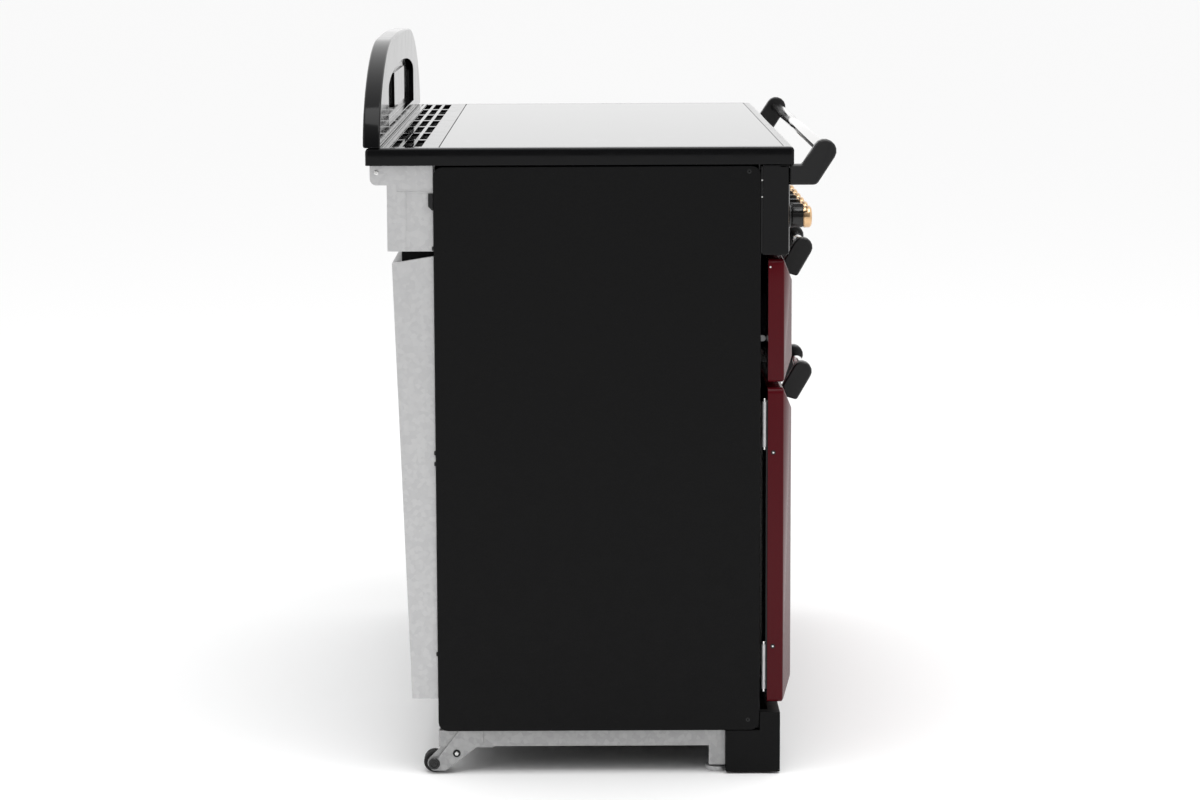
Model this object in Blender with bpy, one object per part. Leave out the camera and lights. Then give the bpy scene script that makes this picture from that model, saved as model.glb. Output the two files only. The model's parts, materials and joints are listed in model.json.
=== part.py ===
"""A free-standing range cooker: glass hob, drop-down grill, two side-hinged ovens and a storage drawer.

Metres, +Z up. The front faces -Y and the left side faces -X. The origin is on the floor, under the
centre of the cooker's box. Depths are measured backwards from the front edge of the hob.
"""

from math import cos, pi, radians, sin, tan

import bmesh
import bpy
from mathutils import Vector

MM = 0.001
GAP = 0.3 * MM
CUT_PAST = 5 * MM
EDGE_MIDDLE = 0.3
END_ARC = 0.998
FINE_ROUND = 24
BAR_ROUND = 20
SMALL_ROUND = 16
BARREL_ROUND = 12

# Overall sizes
WIDTH = 1092 * MM
HOB_DEPTH = 610 * MM
HOB_HEIGHT = 915 * MM
REAR_SPACE = 96 * MM

# Hob tray, glass and vent
HOB_SKIRT = 25 * MM
HOB_WALL = 8 * MM
HOB_CORNER = 5 * MM
HOB_TRIM = 14 * MM
GLASS_THICK = 4 * MM
GLASS_LEDGE = 8 * MM
VENT_DEPTH = 82 * MM
VENT_COLUMNS = 7
VENT_ROWS = 3
VENT_BAR = 18 * MM
VENT_SLOT_WIDE = 11 * MM
VENT_ROW_PITCH = 16.5 * MM
VENT_FRONT_BAND = 25 * MM
VENT_GROOVE = 1.5 * MM
VENT_GROOVE_PLACES = (4.5 * MM, 12 * MM)

# Splash guard along the back of the hob
GUARD_THICK = 25 * MM
GUARD_RISE = 138 * MM
GUARD_CROWN = 10 * MM
GUARD_END_RUN = 300 * MM
GUARD_END_POWER = 1.85
GUARD_END_STEPS = 12
GUARD_TOP_STEPS = 6
GUARD_OVERHANG = 3 * MM
GUARD_RECESS_MARGIN = 212 * MM
GUARD_RECESS_DEEP = 9 * MM
GUARD_RECESS_SIDE = 52 * MM
GUARD_RECESS_ARCH = 30 * MM
GUARD_RECESS_FOOT = 19 * MM
GUARD_RECESS_STEPS = 12
GUARD_EDGE = 2 * MM
PLAQUE_HALF = 129 * MM
PLAQUE_TALL = 54 * MM
PLAQUE_PROUD = 5 * MM
PLAQUE_CORNER = 6 * MM

# Fascia with the control knobs
FASCIA_SETBACK = 6 * MM
FASCIA_BACK_GAP = 2.5 * MM
FASCIA_TALL = 130 * MM
FASCIA_WALL = 1.5 * MM
FASCIA_ROUND = 6 * MM
FASCIA_CORNER = 2 * MM
KNOB_RADIUS = 15.8 * MM
KNOB_COLLAR_LIP = 3.2 * MM
KNOB_COLLAR_LONG = 4 * MM
KNOB_LONG = 35 * MM
KNOB_CHAMFER = 2.5 * MM
KNOB_DROP = 80 * MM
KNOB_PITCH = 70 * MM
KNOB_END_MARGIN = 60 * MM
KNOBS_LEFT = 6
KNOBS_RIGHT = 2

# Carcass
DOOR_TO_CARCASS = 11 * MM
PANEL_TOP_GAP = 27 * MM
PANEL_FOOT = 65 * MM
PANEL_THICK = 12 * MM
PANEL_CORNER = 13.5 * MM
PANEL_EDGE = 2 * MM
SHEET = 1.2 * MM
SIDE_INSET = 1 * MM
FRAME_THICK = 3 * MM
BACK_THICK = 1.5 * MM
COVER_FOOT = 113 * MM
COVER_TO_DUCT = 17 * MM
COVER_SLOPE = 10 * MM
COVER_DEEP_TOP = 60 * MM
COVER_DEEP_FOOT = 38 * MM
REAR_INSET = 6 * MM
DUCT_TALL = 122.7 * MM
DUCT_DEEP = 66 * MM
DUCT_LIP_SETBACK = 6 * MM
DUCT_LIP_TALL = 28 * MM
DUCT_LIP_ROUND = 9 * MM

# Base, plinth, rollers and feet
BASE_TALL = 24 * MM
BASE_INSET = 8 * MM
BASE_FLANGE = 30 * MM
BASE_SHEET = 2 * MM
PLINTH_SETBACK = 17 * MM
PLINTH_TALL = 92 * MM
PLINTH_DEEP = 79 * MM
PLINTH_WALL = 18 * MM
PLINTH_FLOOR_GAP = 3 * MM
FOOT_BRACKET_DEEP = 24 * MM
FOOT_BRACKET_WIDE = 44 * MM
FOOT_TALL = 12 * MM
FOOT_RADIUS = 16 * MM
FOOT_NECK_RADIUS = 7 * MM
FOOT_DISC = 8 * MM
FOOT_EDGE = 1 * MM
ROLLER_RADIUS = 15.5 * MM
ROLLER_WIDE = 22 * MM
ROLLER_BEHIND_PANEL = 7 * MM
ROLLER_BORE = 4.6 * MM
ROLLER_EDGE = 2 * MM
AXLE_RADIUS = 4 * MM
AXLE_HEAD_RADIUS = 8.5 * MM
AXLE_HEAD_LONG = 2.5 * MM
ARM_THICK = 3 * MM
ARM_WIDE = 20 * MM
ARM_RUN = 54 * MM
ARM_SLANT = radians(45)
ROLLER_SIDE_GAP = 2 * MM

# Doors and drawer front, each a pressed panel with a sloping border
DOOR_DEEP = 36 * MM
DOOR_BEVEL_RUN = 34 * MM
DOOR_BEVEL_DEEP = 14 * MM
DOOR_CORNER = 8 * MM
DOOR_WALL = 1.5 * MM
DOOR_EDGE_GAP = 5 * MM
DOOR_CENTRE_GAP = 6 * MM
DOOR_STACK_GAP = 8 * MM
DOOR_FOOT = 105 * MM
FASCIA_TO_DOOR = 6 * MM
SMALL_FRONT_TALL = 178 * MM
LINER_DEEP = 10 * MM
LINER_PLUG = 8 * MM
LINER_PLUG_MARGIN = 2 * MM
LINER_WALL = 1.2 * MM
LEAST_CORNER = 1 * MM

# Handles and front rail
HANDLE_HALF_SPAN = 89 * MM
HANDLE_REACH = 25.5 * MM
HANDLE_DROP = 1 * MM
HANDLE_SWEEP_GAP = 4 * MM
HANDLE_END_RADIUS = 14.5 * MM
HANDLE_SLANT = radians(60)
HANDLE_FOOT_ABOVE_TOE = 5 * MM
HANDLE_TOE = 10 * MM
HANDLE_TOE_ROUND = 4 * MM
HANDLE_THICK = 19 * MM
HANDLE_BAR_RADIUS = 8 * MM
RAIL_REACH = 43.5 * MM
RAIL_DROP = 6.5 * MM
RAIL_END_RADIUS = 16.5 * MM
RAIL_SLANT = radians(57)
RAIL_FOOT_TALL = 29 * MM
RAIL_ELBOW_INSIDE = 5 * MM
RAIL_ELBOW_OUTSIDE = 9 * MM
RAIL_THICK = 20 * MM
RAIL_BAR_RADIUS = 8.75 * MM
BRACKET_CHAMFER = 2 * MM

# Ovens, grill and drawer
OVEN_SIDE_MARGIN = 50 * MM
OVEN_END_MARGIN = 42 * MM
OVEN_BACK_SPACE = 63.7 * MM
OVEN_CORNER = 12 * MM
GRILL_END_MARGIN = 26 * MM
GRILL_BACK_SPACE = 83.7 * MM
SHELF_THICK = 5 * MM
SHELF_WIRE = 5 * MM
SHELF_RIM = 8 * MM
SHELF_SLOTS = 11
SHELF_END_GAP = 28 * MM
GRILL_PAN_TALL = 40 * MM
GRILL_PAN_END_GAP = 38 * MM
GRILL_PAN_CORNER = 20 * MM
GRILL_PAN_SLOPE = 8 * MM
GRILL_PAN_FOOT_EDGE = 6 * MM
GRILL_PAN_SIDE_GAP = 12 * MM
DRAWER_BACK_SPACE = 58 * MM
DRAWER_BELOW_FRONT_TOP = 48 * MM
DRAWER_CORNER = 6 * MM
DRAWER_FOOT_EDGE = 4 * MM
DRAWER_SIDE_MARGIN = 40 * MM
DRAWER_FOOT_ABOVE_FRONT = 8 * MM
DRAWER_HEADROOM = 12 * MM

# Hinges
HINGE_GAP = 5 * MM
HINGE_EDGE = 3 * MM
HINGE_BARREL_RADIUS = 2.9 * MM
HINGE_BARREL_TALL = 66 * MM
HINGE_END_MARGIN = 20 * MM
HINGE_STRIP_WIDE = 20 * MM
HINGE_STRIP_THICK = 2 * MM
GRILL_PIVOT_RISE = 58 * MM
GRILL_KNUCKLE_GAP = 0.6 * MM
GRILL_ARM_TALL = 16 * MM
GRILL_ARM_THICK = 2.5 * MM
GRILL_ARM_LONG = 110 * MM
GRILL_SLOT_SPARE = 2 * MM

# Worked out from the sizes above
RAIL_FRONT = RAIL_REACH + RAIL_END_RADIUS
BACK_DEPTH = HOB_DEPTH + GUARD_OVERHANG
HOB_FRONT_Y = -(BACK_DEPTH - RAIL_FRONT) / 2
HALF = WIDTH / 2
SIDE_X = HALF - SIDE_INSET
CARCASS_X = SIDE_X - PANEL_THICK
PANEL_SETBACK = DOOR_DEEP + DOOR_TO_CARCASS
PANEL_BACK = HOB_DEPTH - REAR_SPACE
PANEL_TOP = HOB_HEIGHT - PANEL_TOP_GAP
SKIRT_FOOT = HOB_HEIGHT - HOB_SKIRT
UNDER_TRAY = HOB_HEIGHT - 2 * HOB_WALL
FASCIA_TOP = SKIRT_FOOT - GAP
FASCIA_DEEP = PANEL_SETBACK - FASCIA_SETBACK - FASCIA_BACK_GAP
FASCIA_FOOT = FASCIA_TOP - FASCIA_TALL
DOOR_TOP = FASCIA_FOOT - FASCIA_TO_DOOR
VENT_BACK = HOB_DEPTH + GUARD_OVERHANG - GUARD_THICK
VENT_FRONT = VENT_BACK - VENT_DEPTH
DOOR_LEFT = -SIDE_X + DOOR_EDGE_GAP
DOOR_WIDE = SIDE_X - DOOR_EDGE_GAP - DOOR_CENTRE_GAP / 2
TALL_FRONT = DOOR_TOP - DOOR_FOOT - SMALL_FRONT_TALL - DOOR_STACK_GAP
FRAME_BACK = PANEL_SETBACK + FRAME_THICK
FRAME_X = CARCASS_X - GAP
BACK_SHEET_FRONT = PANEL_BACK - BACK_THICK - 2 * GAP
DUCT_TOP = SKIRT_FOOT - GAP
DUCT_FOOT = DUCT_TOP - DUCT_TALL
COVER_TOP = DUCT_FOOT - COVER_TO_DUCT
REAR_X = SIDE_X - REAR_INSET
BASE_TOP = PANEL_FOOT - GAP
PLINTH_BACK = PLINTH_SETBACK + PLINTH_DEEP
BASE_FRONT = PLINTH_BACK + GAP
BASE_X = SIDE_X - BASE_INSET
HINGE_DEPTH = DOOR_DEEP + HINGE_GAP
OVEN_DEEP = PANEL_BACK - OVEN_BACK_SPACE - FRAME_BACK - GAP
GRILL_DEEP = PANEL_BACK - GRILL_BACK_SPACE - FRAME_BACK - GAP
DRAWER_TALL = SMALL_FRONT_TALL - DRAWER_BELOW_FRONT_TOP

FINISHES = {
    "black_enamel": ((0.012, 0.012, 0.013), 0.08, 0.0),
    "hob_glass": ((0.006, 0.006, 0.007), 0.04, 0.0),
    "textured_black": ((0.014, 0.014, 0.015), 0.5, 0.0),
    "cranberry_enamel": ((0.085, 0.006, 0.011), 0.12, 0.0),
    "galvanised": ((0.55, 0.56, 0.56), 0.4, 0.9),
    "chrome": ((0.8, 0.8, 0.8), 0.08, 1.0),
    "bracket_black": ((0.012, 0.012, 0.013), 0.3, 0.0),
    "knob_black": ((0.01, 0.01, 0.01), 0.25, 0.0),
    "oven_enamel": ((0.03, 0.03, 0.033), 0.3, 0.0),
    "rubber": ((0.015, 0.015, 0.015), 0.7, 0.0),
}


# ---------------------------------------------------------------- drawing helpers


def at(depth):
    """The Y of a depth behind the hob's front edge."""
    return depth + HOB_FRONT_Y


def in_plane(points, plane, level):
    """Flat points (u, v) set in one of the main planes at a level along the third axis."""
    if plane == "XZ":
        return [(u, level, v) for u, v in points]
    if plane == "YZ":
        return [(level, u, v) for u, v in points]
    return [(u, v, level) for u, v in points]


def circle(centre, radius, segments):
    turns = [2 * pi * i / segments for i in range(segments)]
    return [(centre[0] + radius * cos(a), centre[1] + radius * sin(a)) for a in turns]


def offset(points, distance, closed=True):
    """The outline moved sideways, to its left as it runs, with mitred corners."""
    count = len(points)
    vectors = [Vector(p) for p in points]
    moved = []
    for i, here in enumerate(vectors):
        before = here - vectors[i - 1] if closed or i > 0 else None
        after = vectors[(i + 1) % count] - here if closed or i < count - 1 else None
        runs = [v.normalized() for v in (before, after) if v is not None]
        normals = [Vector((-r.y, r.x)) for r in runs]
        first, last = normals[0], normals[-1]
        mitre = (first + last) / (1 + first.dot(last))
        moved.append(tuple(here + mitre * distance))
    return moved


def rounded(corners, steps=4):
    """An outline from corners (u, v) or (u, v, radius), with an arc at each radius."""
    points = []
    for i, corner in enumerate(corners):
        here = Vector(corner[:2])
        radius = corner[2] if len(corner) == 3 else 0
        if not radius:
            points.append(here)
            continue
        to_last = (Vector(corners[i - 1][:2]) - here).normalized()
        to_next = (Vector(corners[(i + 1) % len(corners)][:2]) - here).normalized()
        half = to_last.angle(to_next) / 2
        centre = here + (to_last + to_next).normalized() * radius / sin(half)
        start = here + to_last * radius / tan(half) - centre
        turn = start.angle_signed(here + to_next * radius / tan(half) - centre)
        for step in range(steps + 1):
            angle = -turn * step / steps
            spun = (start.x * cos(angle) - start.y * sin(angle), start.x * sin(angle) + start.y * cos(angle))
            points.append(centre + Vector(spun))
    kept = [p for i, p in enumerate(points) if (p - points[i - 1]).length > 0.05 * MM]
    return [tuple(p) for p in kept]


def round_rectangle(low, high, radius, steps=3):
    corners = [(low[0], low[1]), (high[0], low[1]), (high[0], high[1]), (low[0], high[1])]
    return rounded([(u, v, radius) for u, v in corners], steps)


def loft(loops, ring=False):
    """A closed mesh through loops of equally many points: capped at both ends, or joined to a ring."""
    bm = bmesh.new()
    rows = [[bm.verts.new(p) for p in loop] for loop in loops]
    pairs = list(zip(rows, rows[1:])) + ([(rows[-1], rows[0])] if ring else [])
    for low, high in pairs:
        for i in range(len(low)):
            j = (i + 1) % len(low)
            bm.faces.new((low[i], low[j], high[j], high[i]))
    if not ring:
        bm.faces.new(rows[0])
        bm.faces.new(rows[-1])
    bmesh.ops.recalc_face_normals(bm, faces=bm.faces)
    return bm


def block(low, high):
    base = [(low[0], low[1]), (high[0], low[1]), (high[0], high[1]), (low[0], high[1])]
    return loft([in_plane(base, "XY", low[2]), in_plane(base, "XY", high[2])])


def prism(plane, outline, start, end, chamfer=0.0):
    """An outline, counter-clockwise, drawn out along the third axis, with its edges chamfered."""
    if not chamfer:
        return loft([in_plane(outline, plane, start), in_plane(outline, plane, end)])
    small = offset(outline, chamfer)
    levels = [(small, start), (outline, start + chamfer), (outline, end - chamfer), (small, end)]
    return loft([in_plane(points, plane, level) for points, level in levels])


def turned(plane, centre, profile, segments):
    """A round piece from (radius, level) steps along the axis across the plane."""
    return loft([in_plane(circle(centre, radius, segments), plane, level) for radius, level in profile])


def pan(plane, low, high, corner, face, inward, profile, wall, steps=3):
    """A pressed sheet. The profile runs from the open rim to the face as (inset, height over the face)."""
    inner = offset(profile + [(profile[-1][0] + HALF, profile[-1][1])], wall, closed=False)[:-1]
    loops = []
    for inset, height in profile + inner[::-1]:
        rim_low = (low[0] + inset, low[1] + inset)
        rim_high = (high[0] - inset, high[1] - inset)
        outline = round_rectangle(rim_low, rim_high, max(corner - inset, LEAST_CORNER), steps)
        loops.append(in_plane(outline, plane, face + inward * height))
    # The outer loops run from rim to face and the inner ones back, so the caps are the two faces.
    half = len(profile)
    return loft(loops[:half][::-1] + loops[half:][::-1])


# ---------------------------------------------------------------- objects


def clear_scene():
    for obj in list(bpy.data.objects):
        bpy.data.objects.remove(obj, do_unlink=True)


def finish_for(name, finish):
    colour, roughness, metallic = FINISHES[finish]
    material = bpy.data.materials.new(name + "_finish")
    material.use_nodes = True
    shader = material.node_tree.nodes["Principled BSDF"]
    shader.inputs["Base Color"].default_value = (*colour, 1.0)
    shader.inputs["Roughness"].default_value = roughness
    shader.inputs["Metallic"].default_value = metallic
    return material


def piece(name, bm, finish, parent=None, smooth=False):
    """Turns a mesh drawn in place into a named object whose origin is its own centre, or its parent's."""
    low = Vector([min(v.co[i] for v in bm.verts) for i in range(3)])
    high = Vector([max(v.co[i] for v in bm.verts) for i in range(3)])
    origin = (low + high) / 2
    bmesh.ops.translate(bm, verts=bm.verts, vec=-origin)
    mesh = bpy.data.meshes.new(name)
    bm.to_mesh(mesh)
    bm.free()
    mesh.materials.append(finish_for(name, finish))
    if smooth:
        mesh.shade_smooth()
        mesh.set_sharp_from_angle(angle=radians(35))
    obj = bpy.data.objects.new(name, mesh)
    bpy.context.scene.collection.objects.link(obj)
    obj.parent = parent
    obj.location = origin - parent.location if parent else origin
    return obj


def pivot(name, place):
    """An empty on a joint's axis, which carries the pieces that move with the joint."""
    empty = bpy.data.objects.new(name, None)
    empty.location = place
    bpy.context.scene.collection.objects.link(empty)
    return empty


def shape_with(obj, bm, operation):
    """Cuts a mesh drawn in place out of an object, or joins it on."""
    mesh = bpy.data.meshes.new(obj.name + "_tool")
    bm.to_mesh(mesh)
    bm.free()
    tool = bpy.data.objects.new(mesh.name, mesh)
    tool.hide_render = True
    tool.display_type = "WIRE"
    bpy.context.scene.collection.objects.link(tool)
    boolean = obj.modifiers.new("shape", "BOOLEAN")
    boolean.object = tool
    boolean.operation = operation
    boolean.solver = "EXACT"


def join_meshes(parts):
    """Several separate closed meshes as one, for a cutter with many teeth."""
    joined = bmesh.new()
    for part in parts:
        mesh = bpy.data.meshes.new("part")
        part.to_mesh(mesh)
        part.free()
        joined.from_mesh(mesh)
        bpy.data.meshes.remove(mesh)
    return joined


# ---------------------------------------------------------------- base and carcass


def make_base():
    """An L-section ring of galvanised sheet, with a bracket for each front foot."""
    foot = BASE_TOP - BASE_TALL
    section = [(0, foot), (0, BASE_TOP), (BASE_FLANGE, BASE_TOP)]
    section += [(BASE_FLANGE, BASE_TOP - BASE_SHEET), (BASE_SHEET, BASE_TOP - BASE_SHEET), (BASE_SHEET, foot)]
    loops = []
    for inset, height in section:
        x = BASE_X - inset
        front = at(BASE_FRONT) + inset
        back = at(PANEL_BACK) - inset
        loops.append([(-x, front, height), (x, front, height), (x, back, height), (-x, back, height)])
    base = piece("base_frame", loft(loops, ring=True), "galvanised")
    for side in (-1, 1):
        shape_with(base, foot_bracket(side), "UNION")


def foot_bracket(side):
    """An L-shaped bracket: a cheek that hangs from the base rail, and a sole over the foot."""
    top = BASE_TOP - BASE_SHEET / 2
    sole = FOOT_TALL + BASE_SHEET
    outer = BASE_X
    cheek = BASE_X - 2 * BASE_SHEET
    inner = BASE_X - FOOT_BRACKET_WIDE
    corners = [(outer, FOOT_TALL), (outer, top), (cheek, top)]
    corners += [(cheek, sole), (inner, sole), (inner, FOOT_TALL)]
    outline = [(side * u, v) for u, v in corners]
    return prism("XZ", outline, at(BASE_FRONT), at(BASE_FRONT + FOOT_BRACKET_DEEP))


def u_plan(half, front, back):
    """The plan of a board with a return at each end."""
    inner = half - PLINTH_WALL
    outline = [(-half, front), (half, front), (half, back), (inner, back)]
    outline += [(inner, front + PLINTH_WALL), (-inner, front + PLINTH_WALL)]
    return outline + [(-inner, back), (-half, back)]


def make_plinth():
    """The kick board. Its low returns run back past the side panels, its upper ones stop at them."""
    low_plan = u_plan(SIDE_X, at(PLINTH_SETBACK), at(PLINTH_BACK))
    high_plan = u_plan(SIDE_X, at(PLINTH_SETBACK), at(PANEL_SETBACK) - GAP)
    split = PANEL_FOOT - GAP
    plinth = piece("plinth", prism("XY", low_plan, PLINTH_FLOOR_GAP, split), "textured_black")
    shape_with(plinth, prism("XY", high_plan, split - BASE_SHEET, PLINTH_TALL), "UNION")


def make_side_panels():
    middle = PANEL_EDGE * EDGE_MIDDLE
    profile = [(0, PANEL_THICK), (0, PANEL_EDGE), (middle, middle), (PANEL_EDGE, 0)]
    low = (at(PANEL_SETBACK), PANEL_FOOT)
    high = (at(PANEL_BACK), PANEL_TOP)
    for side, name in ((-1, "left"), (1, "right")):
        shell = pan("YZ", low, high, PANEL_CORNER, side * SIDE_X, -side, profile, SHEET, steps=4)
        piece("side_panel_" + name, shell, "textured_black", smooth=True)


def bays():
    """The inner openings of the two ovens, the grill and the drawer, as (low x, high x, low z, high z)."""
    left = (DOOR_LEFT + OVEN_SIDE_MARGIN, -DOOR_CENTRE_GAP / 2 - OVEN_SIDE_MARGIN)
    right = (-left[1], -left[0])
    oven_low = DOOR_FOOT + OVEN_END_MARGIN
    oven_high = DOOR_FOOT + TALL_FRONT - OVEN_END_MARGIN
    grill = (DOOR_TOP - SMALL_FRONT_TALL + GRILL_END_MARGIN, DOOR_TOP - GRILL_END_MARGIN)
    rise = SMALL_FRONT_TALL + DOOR_STACK_GAP
    drawer = (DOOR_CENTRE_GAP / 2 + DRAWER_SIDE_MARGIN, -DOOR_LEFT - DRAWER_SIDE_MARGIN)
    drawer_foot = DOOR_FOOT + DRAWER_FOOT_ABOVE_FRONT
    return {
        "left_oven": (*left, oven_low, oven_high),
        "right_oven": (*right, oven_low + rise, oven_high + rise),
        "grill": (*left, *grill),
        "drawer": (*drawer, drawer_foot, drawer_foot + DRAWER_TALL + DRAWER_HEADROOM),
    }


def make_front_frame():
    """The upright sheet that carries the oven mouths, with a window for each bay."""
    low = (-FRAME_X, at(PANEL_SETBACK), PANEL_FOOT)
    frame = piece("front_frame", block(low, (FRAME_X, at(FRAME_BACK), UNDER_TRAY)), "oven_enamel")
    for name, (x0, x1, z0, z1) in bays().items():
        margin = grill_arm_slot() if name == "grill" else 0
        front = (x0 - margin, at(PANEL_SETBACK) - CUT_PAST, z0)
        shape_with(frame, block(front, (x1 + margin, at(FRAME_BACK) + CUT_PAST, z1)), "DIFFERENCE")


def grill_arm_slot():
    """How far the grill window runs past the grill's mouth on each side, to pass the hinge arms."""
    return SHEET + 2 * GAP + GRILL_ARM_THICK + GRILL_SLOT_SPARE


def make_cavities():
    for name in ("left_oven", "right_oven", "grill"):
        x0, x1, z0, z1 = bays()[name]
        deep = GRILL_DEEP if name == "grill" else OVEN_DEEP
        low = (x0 - SHEET, z0 - SHEET)
        high = (x1 + SHEET, z1 + SHEET)
        back = at(FRAME_BACK + GAP + deep)
        profile = [(0, deep), (0, OVEN_CORNER), (OVEN_CORNER, 0)]
        shell = pan("XZ", low, high, OVEN_CORNER, back, -1, profile, SHEET)
        piece(name + "_cavity", shell, "oven_enamel", smooth=True)


def make_back():
    """The back sheet, the tapered cover over the oven backs, and the vent duct under the hob."""
    low = (-FRAME_X, at(BACK_SHEET_FRONT), PANEL_FOOT)
    high = (FRAME_X, at(BACK_SHEET_FRONT + BACK_THICK), UNDER_TRAY)
    piece("back_panel", block(low, high), "galvanised")
    start = at(PANEL_BACK)
    cover = [(start, COVER_FOOT), (start + COVER_DEEP_FOOT, COVER_FOOT)]
    cover += [(start + COVER_DEEP_TOP, COVER_TOP), (start, COVER_TOP + COVER_SLOPE)]
    sheet_box("rear_cover", cover, start)
    lip_foot = DUCT_TOP - DUCT_LIP_TALL
    lip_back = at(HOB_DEPTH - DUCT_LIP_SETBACK)
    duct = [(start, DUCT_FOOT), (start + DUCT_DEEP, DUCT_FOOT), (start + DUCT_DEEP, lip_foot)]
    duct += [(lip_back, lip_foot, DUCT_LIP_ROUND), (lip_back, DUCT_TOP), (start, DUCT_TOP)]
    sheet_box("rear_duct", rounded(duct), start)


def sheet_box(name, outline, mouth):
    """A sheet-metal box that is open at its front, drawn from its side view."""
    box = piece(name, prism("YZ", outline, -REAR_X, REAR_X), "galvanised")
    inner = offset(outline, SHEET)
    inner = [(y - CUT_PAST if abs(y - mouth) < 2 * SHEET else y, z) for y, z in inner]
    shape_with(box, prism("YZ", inner, -REAR_X + SHEET, REAR_X - SHEET), "DIFFERENCE")


# ---------------------------------------------------------------- hob and guard


def make_hob():
    """The enamelled tray, with a ledge round the window that the glass and the vent drop into."""
    middle = HOB_CORNER * EDGE_MIDDLE
    loops = []
    for inset, drop in ((0, HOB_SKIRT), (0, HOB_CORNER), (middle, middle), (HOB_CORNER, 0)):
        high = (HALF - inset, at(HOB_DEPTH - inset))
        outline = round_rectangle((-HALF + inset, at(inset)), high, max(HOB_CORNER - inset, LEAST_CORNER))
        loops.append(in_plane(outline, "XY", HOB_HEIGHT - drop))
    frame = piece("hob_frame", loft(loops), "black_enamel", smooth=True)
    low = (-HALF + HOB_WALL, at(HOB_WALL), SKIRT_FOOT - HOB_WALL)
    high = (HALF - HOB_WALL, at(HOB_DEPTH - HOB_WALL), HOB_HEIGHT - HOB_WALL)
    shape_with(frame, block(low, high), "DIFFERENCE")
    window_x = HALF - HOB_TRIM
    ledge_z = HOB_HEIGHT - GLASS_THICK - GAP
    over = HOB_HEIGHT + HOB_WALL
    hole_x = window_x - GLASS_LEDGE
    ledge = block((-window_x, at(HOB_TRIM), ledge_z), (window_x, at(VENT_BACK), over))
    shape_with(frame, ledge, "DIFFERENCE")
    for front, back in ((HOB_TRIM, VENT_FRONT), (VENT_FRONT, VENT_BACK)):
        low = (-hole_x, at(front + GLASS_LEDGE), UNDER_TRAY)
        shape_with(frame, block(low, (hole_x, at(back - GLASS_LEDGE), over)), "DIFFERENCE")
    make_glass(window_x)
    make_vent(window_x)


def make_glass(window_x):
    edge = GLASS_THICK / 4
    low = (-window_x + GAP, at(HOB_TRIM + GAP))
    high = (window_x - GAP, at(VENT_FRONT - GAP))
    outline = round_rectangle(low, high, GLASS_THICK, 2)
    small = offset(outline, edge)
    bottom = HOB_HEIGHT - GLASS_THICK
    levels = [(outline, bottom), (outline, HOB_HEIGHT - edge), (small, HOB_HEIGHT)]
    piece("hob_glass", loft([in_plane(points, "XY", z) for points, z in levels]), "hob_glass")


def make_vent(window_x):
    """The vent grille: rows of slots in front, and two grooves that run along its back."""
    front = at(VENT_FRONT + GAP)
    back = at(VENT_BACK - GAP)
    bottom = HOB_HEIGHT - GLASS_THICK
    section = [(front, bottom), (back, bottom), (back, HOB_HEIGHT)]
    for place in VENT_GROOVE_PLACES:
        groove = back - place
        section += [(groove, HOB_HEIGHT), (groove, HOB_HEIGHT - VENT_GROOVE)]
        section += [(groove - VENT_GROOVE, HOB_HEIGHT - VENT_GROOVE), (groove - VENT_GROOVE, HOB_HEIGHT)]
    section.append((front, HOB_HEIGHT))
    grille = piece("vent_grille", prism("YZ", section, -window_x + GAP, window_x - GAP), "black_enamel")
    pitch = 2 * (window_x - VENT_BAR / 2) / VENT_COLUMNS
    slots = []
    for column in range(VENT_COLUMNS):
        x = (column - (VENT_COLUMNS - 1) / 2) * pitch
        for row in range(VENT_ROWS):
            y = front + VENT_FRONT_BAND + row * VENT_ROW_PITCH
            low = (x - (pitch - VENT_BAR) / 2, y, bottom - VENT_BAR)
            slots.append(block(low, (x + (pitch - VENT_BAR) / 2, y + VENT_SLOT_WIDE, HOB_HEIGHT + VENT_BAR)))
    shape_with(grille, join_meshes(slots), "DIFFERENCE")


def guard_outline():
    """The arched splash guard seen from the front: steep round ends and a low crown between them."""
    bottom = HOB_HEIGHT + GAP
    right = []
    for i in range(GUARD_END_STEPS):
        share = 1 - cos(pi / 2 * i / GUARD_END_STEPS)
        rise = (1 - (1 - share) ** GUARD_END_POWER) ** (1 / GUARD_END_POWER)
        right.append((HALF - share * GUARD_END_RUN, GUARD_RISE * rise))
    inner = HALF - GUARD_END_RUN
    right += [(inner * (1 - i / GUARD_TOP_STEPS), GUARD_RISE) for i in range(GUARD_TOP_STEPS + 1)]
    crowned = [(x, bottom + h + GUARD_CROWN * cos(pi / 2 * x / HALF) ** 2) for x, h in right]
    return crowned + [(-x, z) for x, z in crowned[-2::-1]]


def make_guard():
    front = at(VENT_BACK + GAP)
    back = at(BACK_DEPTH)
    plate = prism("XZ", guard_outline(), front, back, GUARD_EDGE)
    guard = piece("back_guard", plate, "black_enamel", smooth=True)
    half = HALF - GUARD_RECESS_MARGIN
    foot = HOB_HEIGHT + GUARD_RECESS_FOOT
    recess = [(-half, foot), (half, foot)]
    for i in range(GUARD_RECESS_STEPS + 1):
        angle = pi * i / GUARD_RECESS_STEPS
        rise = GUARD_RECESS_SIDE + GUARD_RECESS_ARCH * sin(angle)
        recess.append((half * cos(angle), foot + rise))
    floor = front + GUARD_RECESS_DEEP
    shape_with(guard, prism("XZ", recess, front - GUARD_THICK, floor), "DIFFERENCE")
    low = (-PLAQUE_HALF, foot + (GUARD_RECESS_SIDE + GUARD_RECESS_ARCH - PLAQUE_TALL) / 2)
    high = (PLAQUE_HALF, low[1] + PLAQUE_TALL)
    outline = round_rectangle(low, high, PLAQUE_CORNER)
    shape_with(guard, prism("XZ", outline, floor - PLAQUE_PROUD, floor + PLAQUE_PROUD / 2), "UNION")


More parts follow.
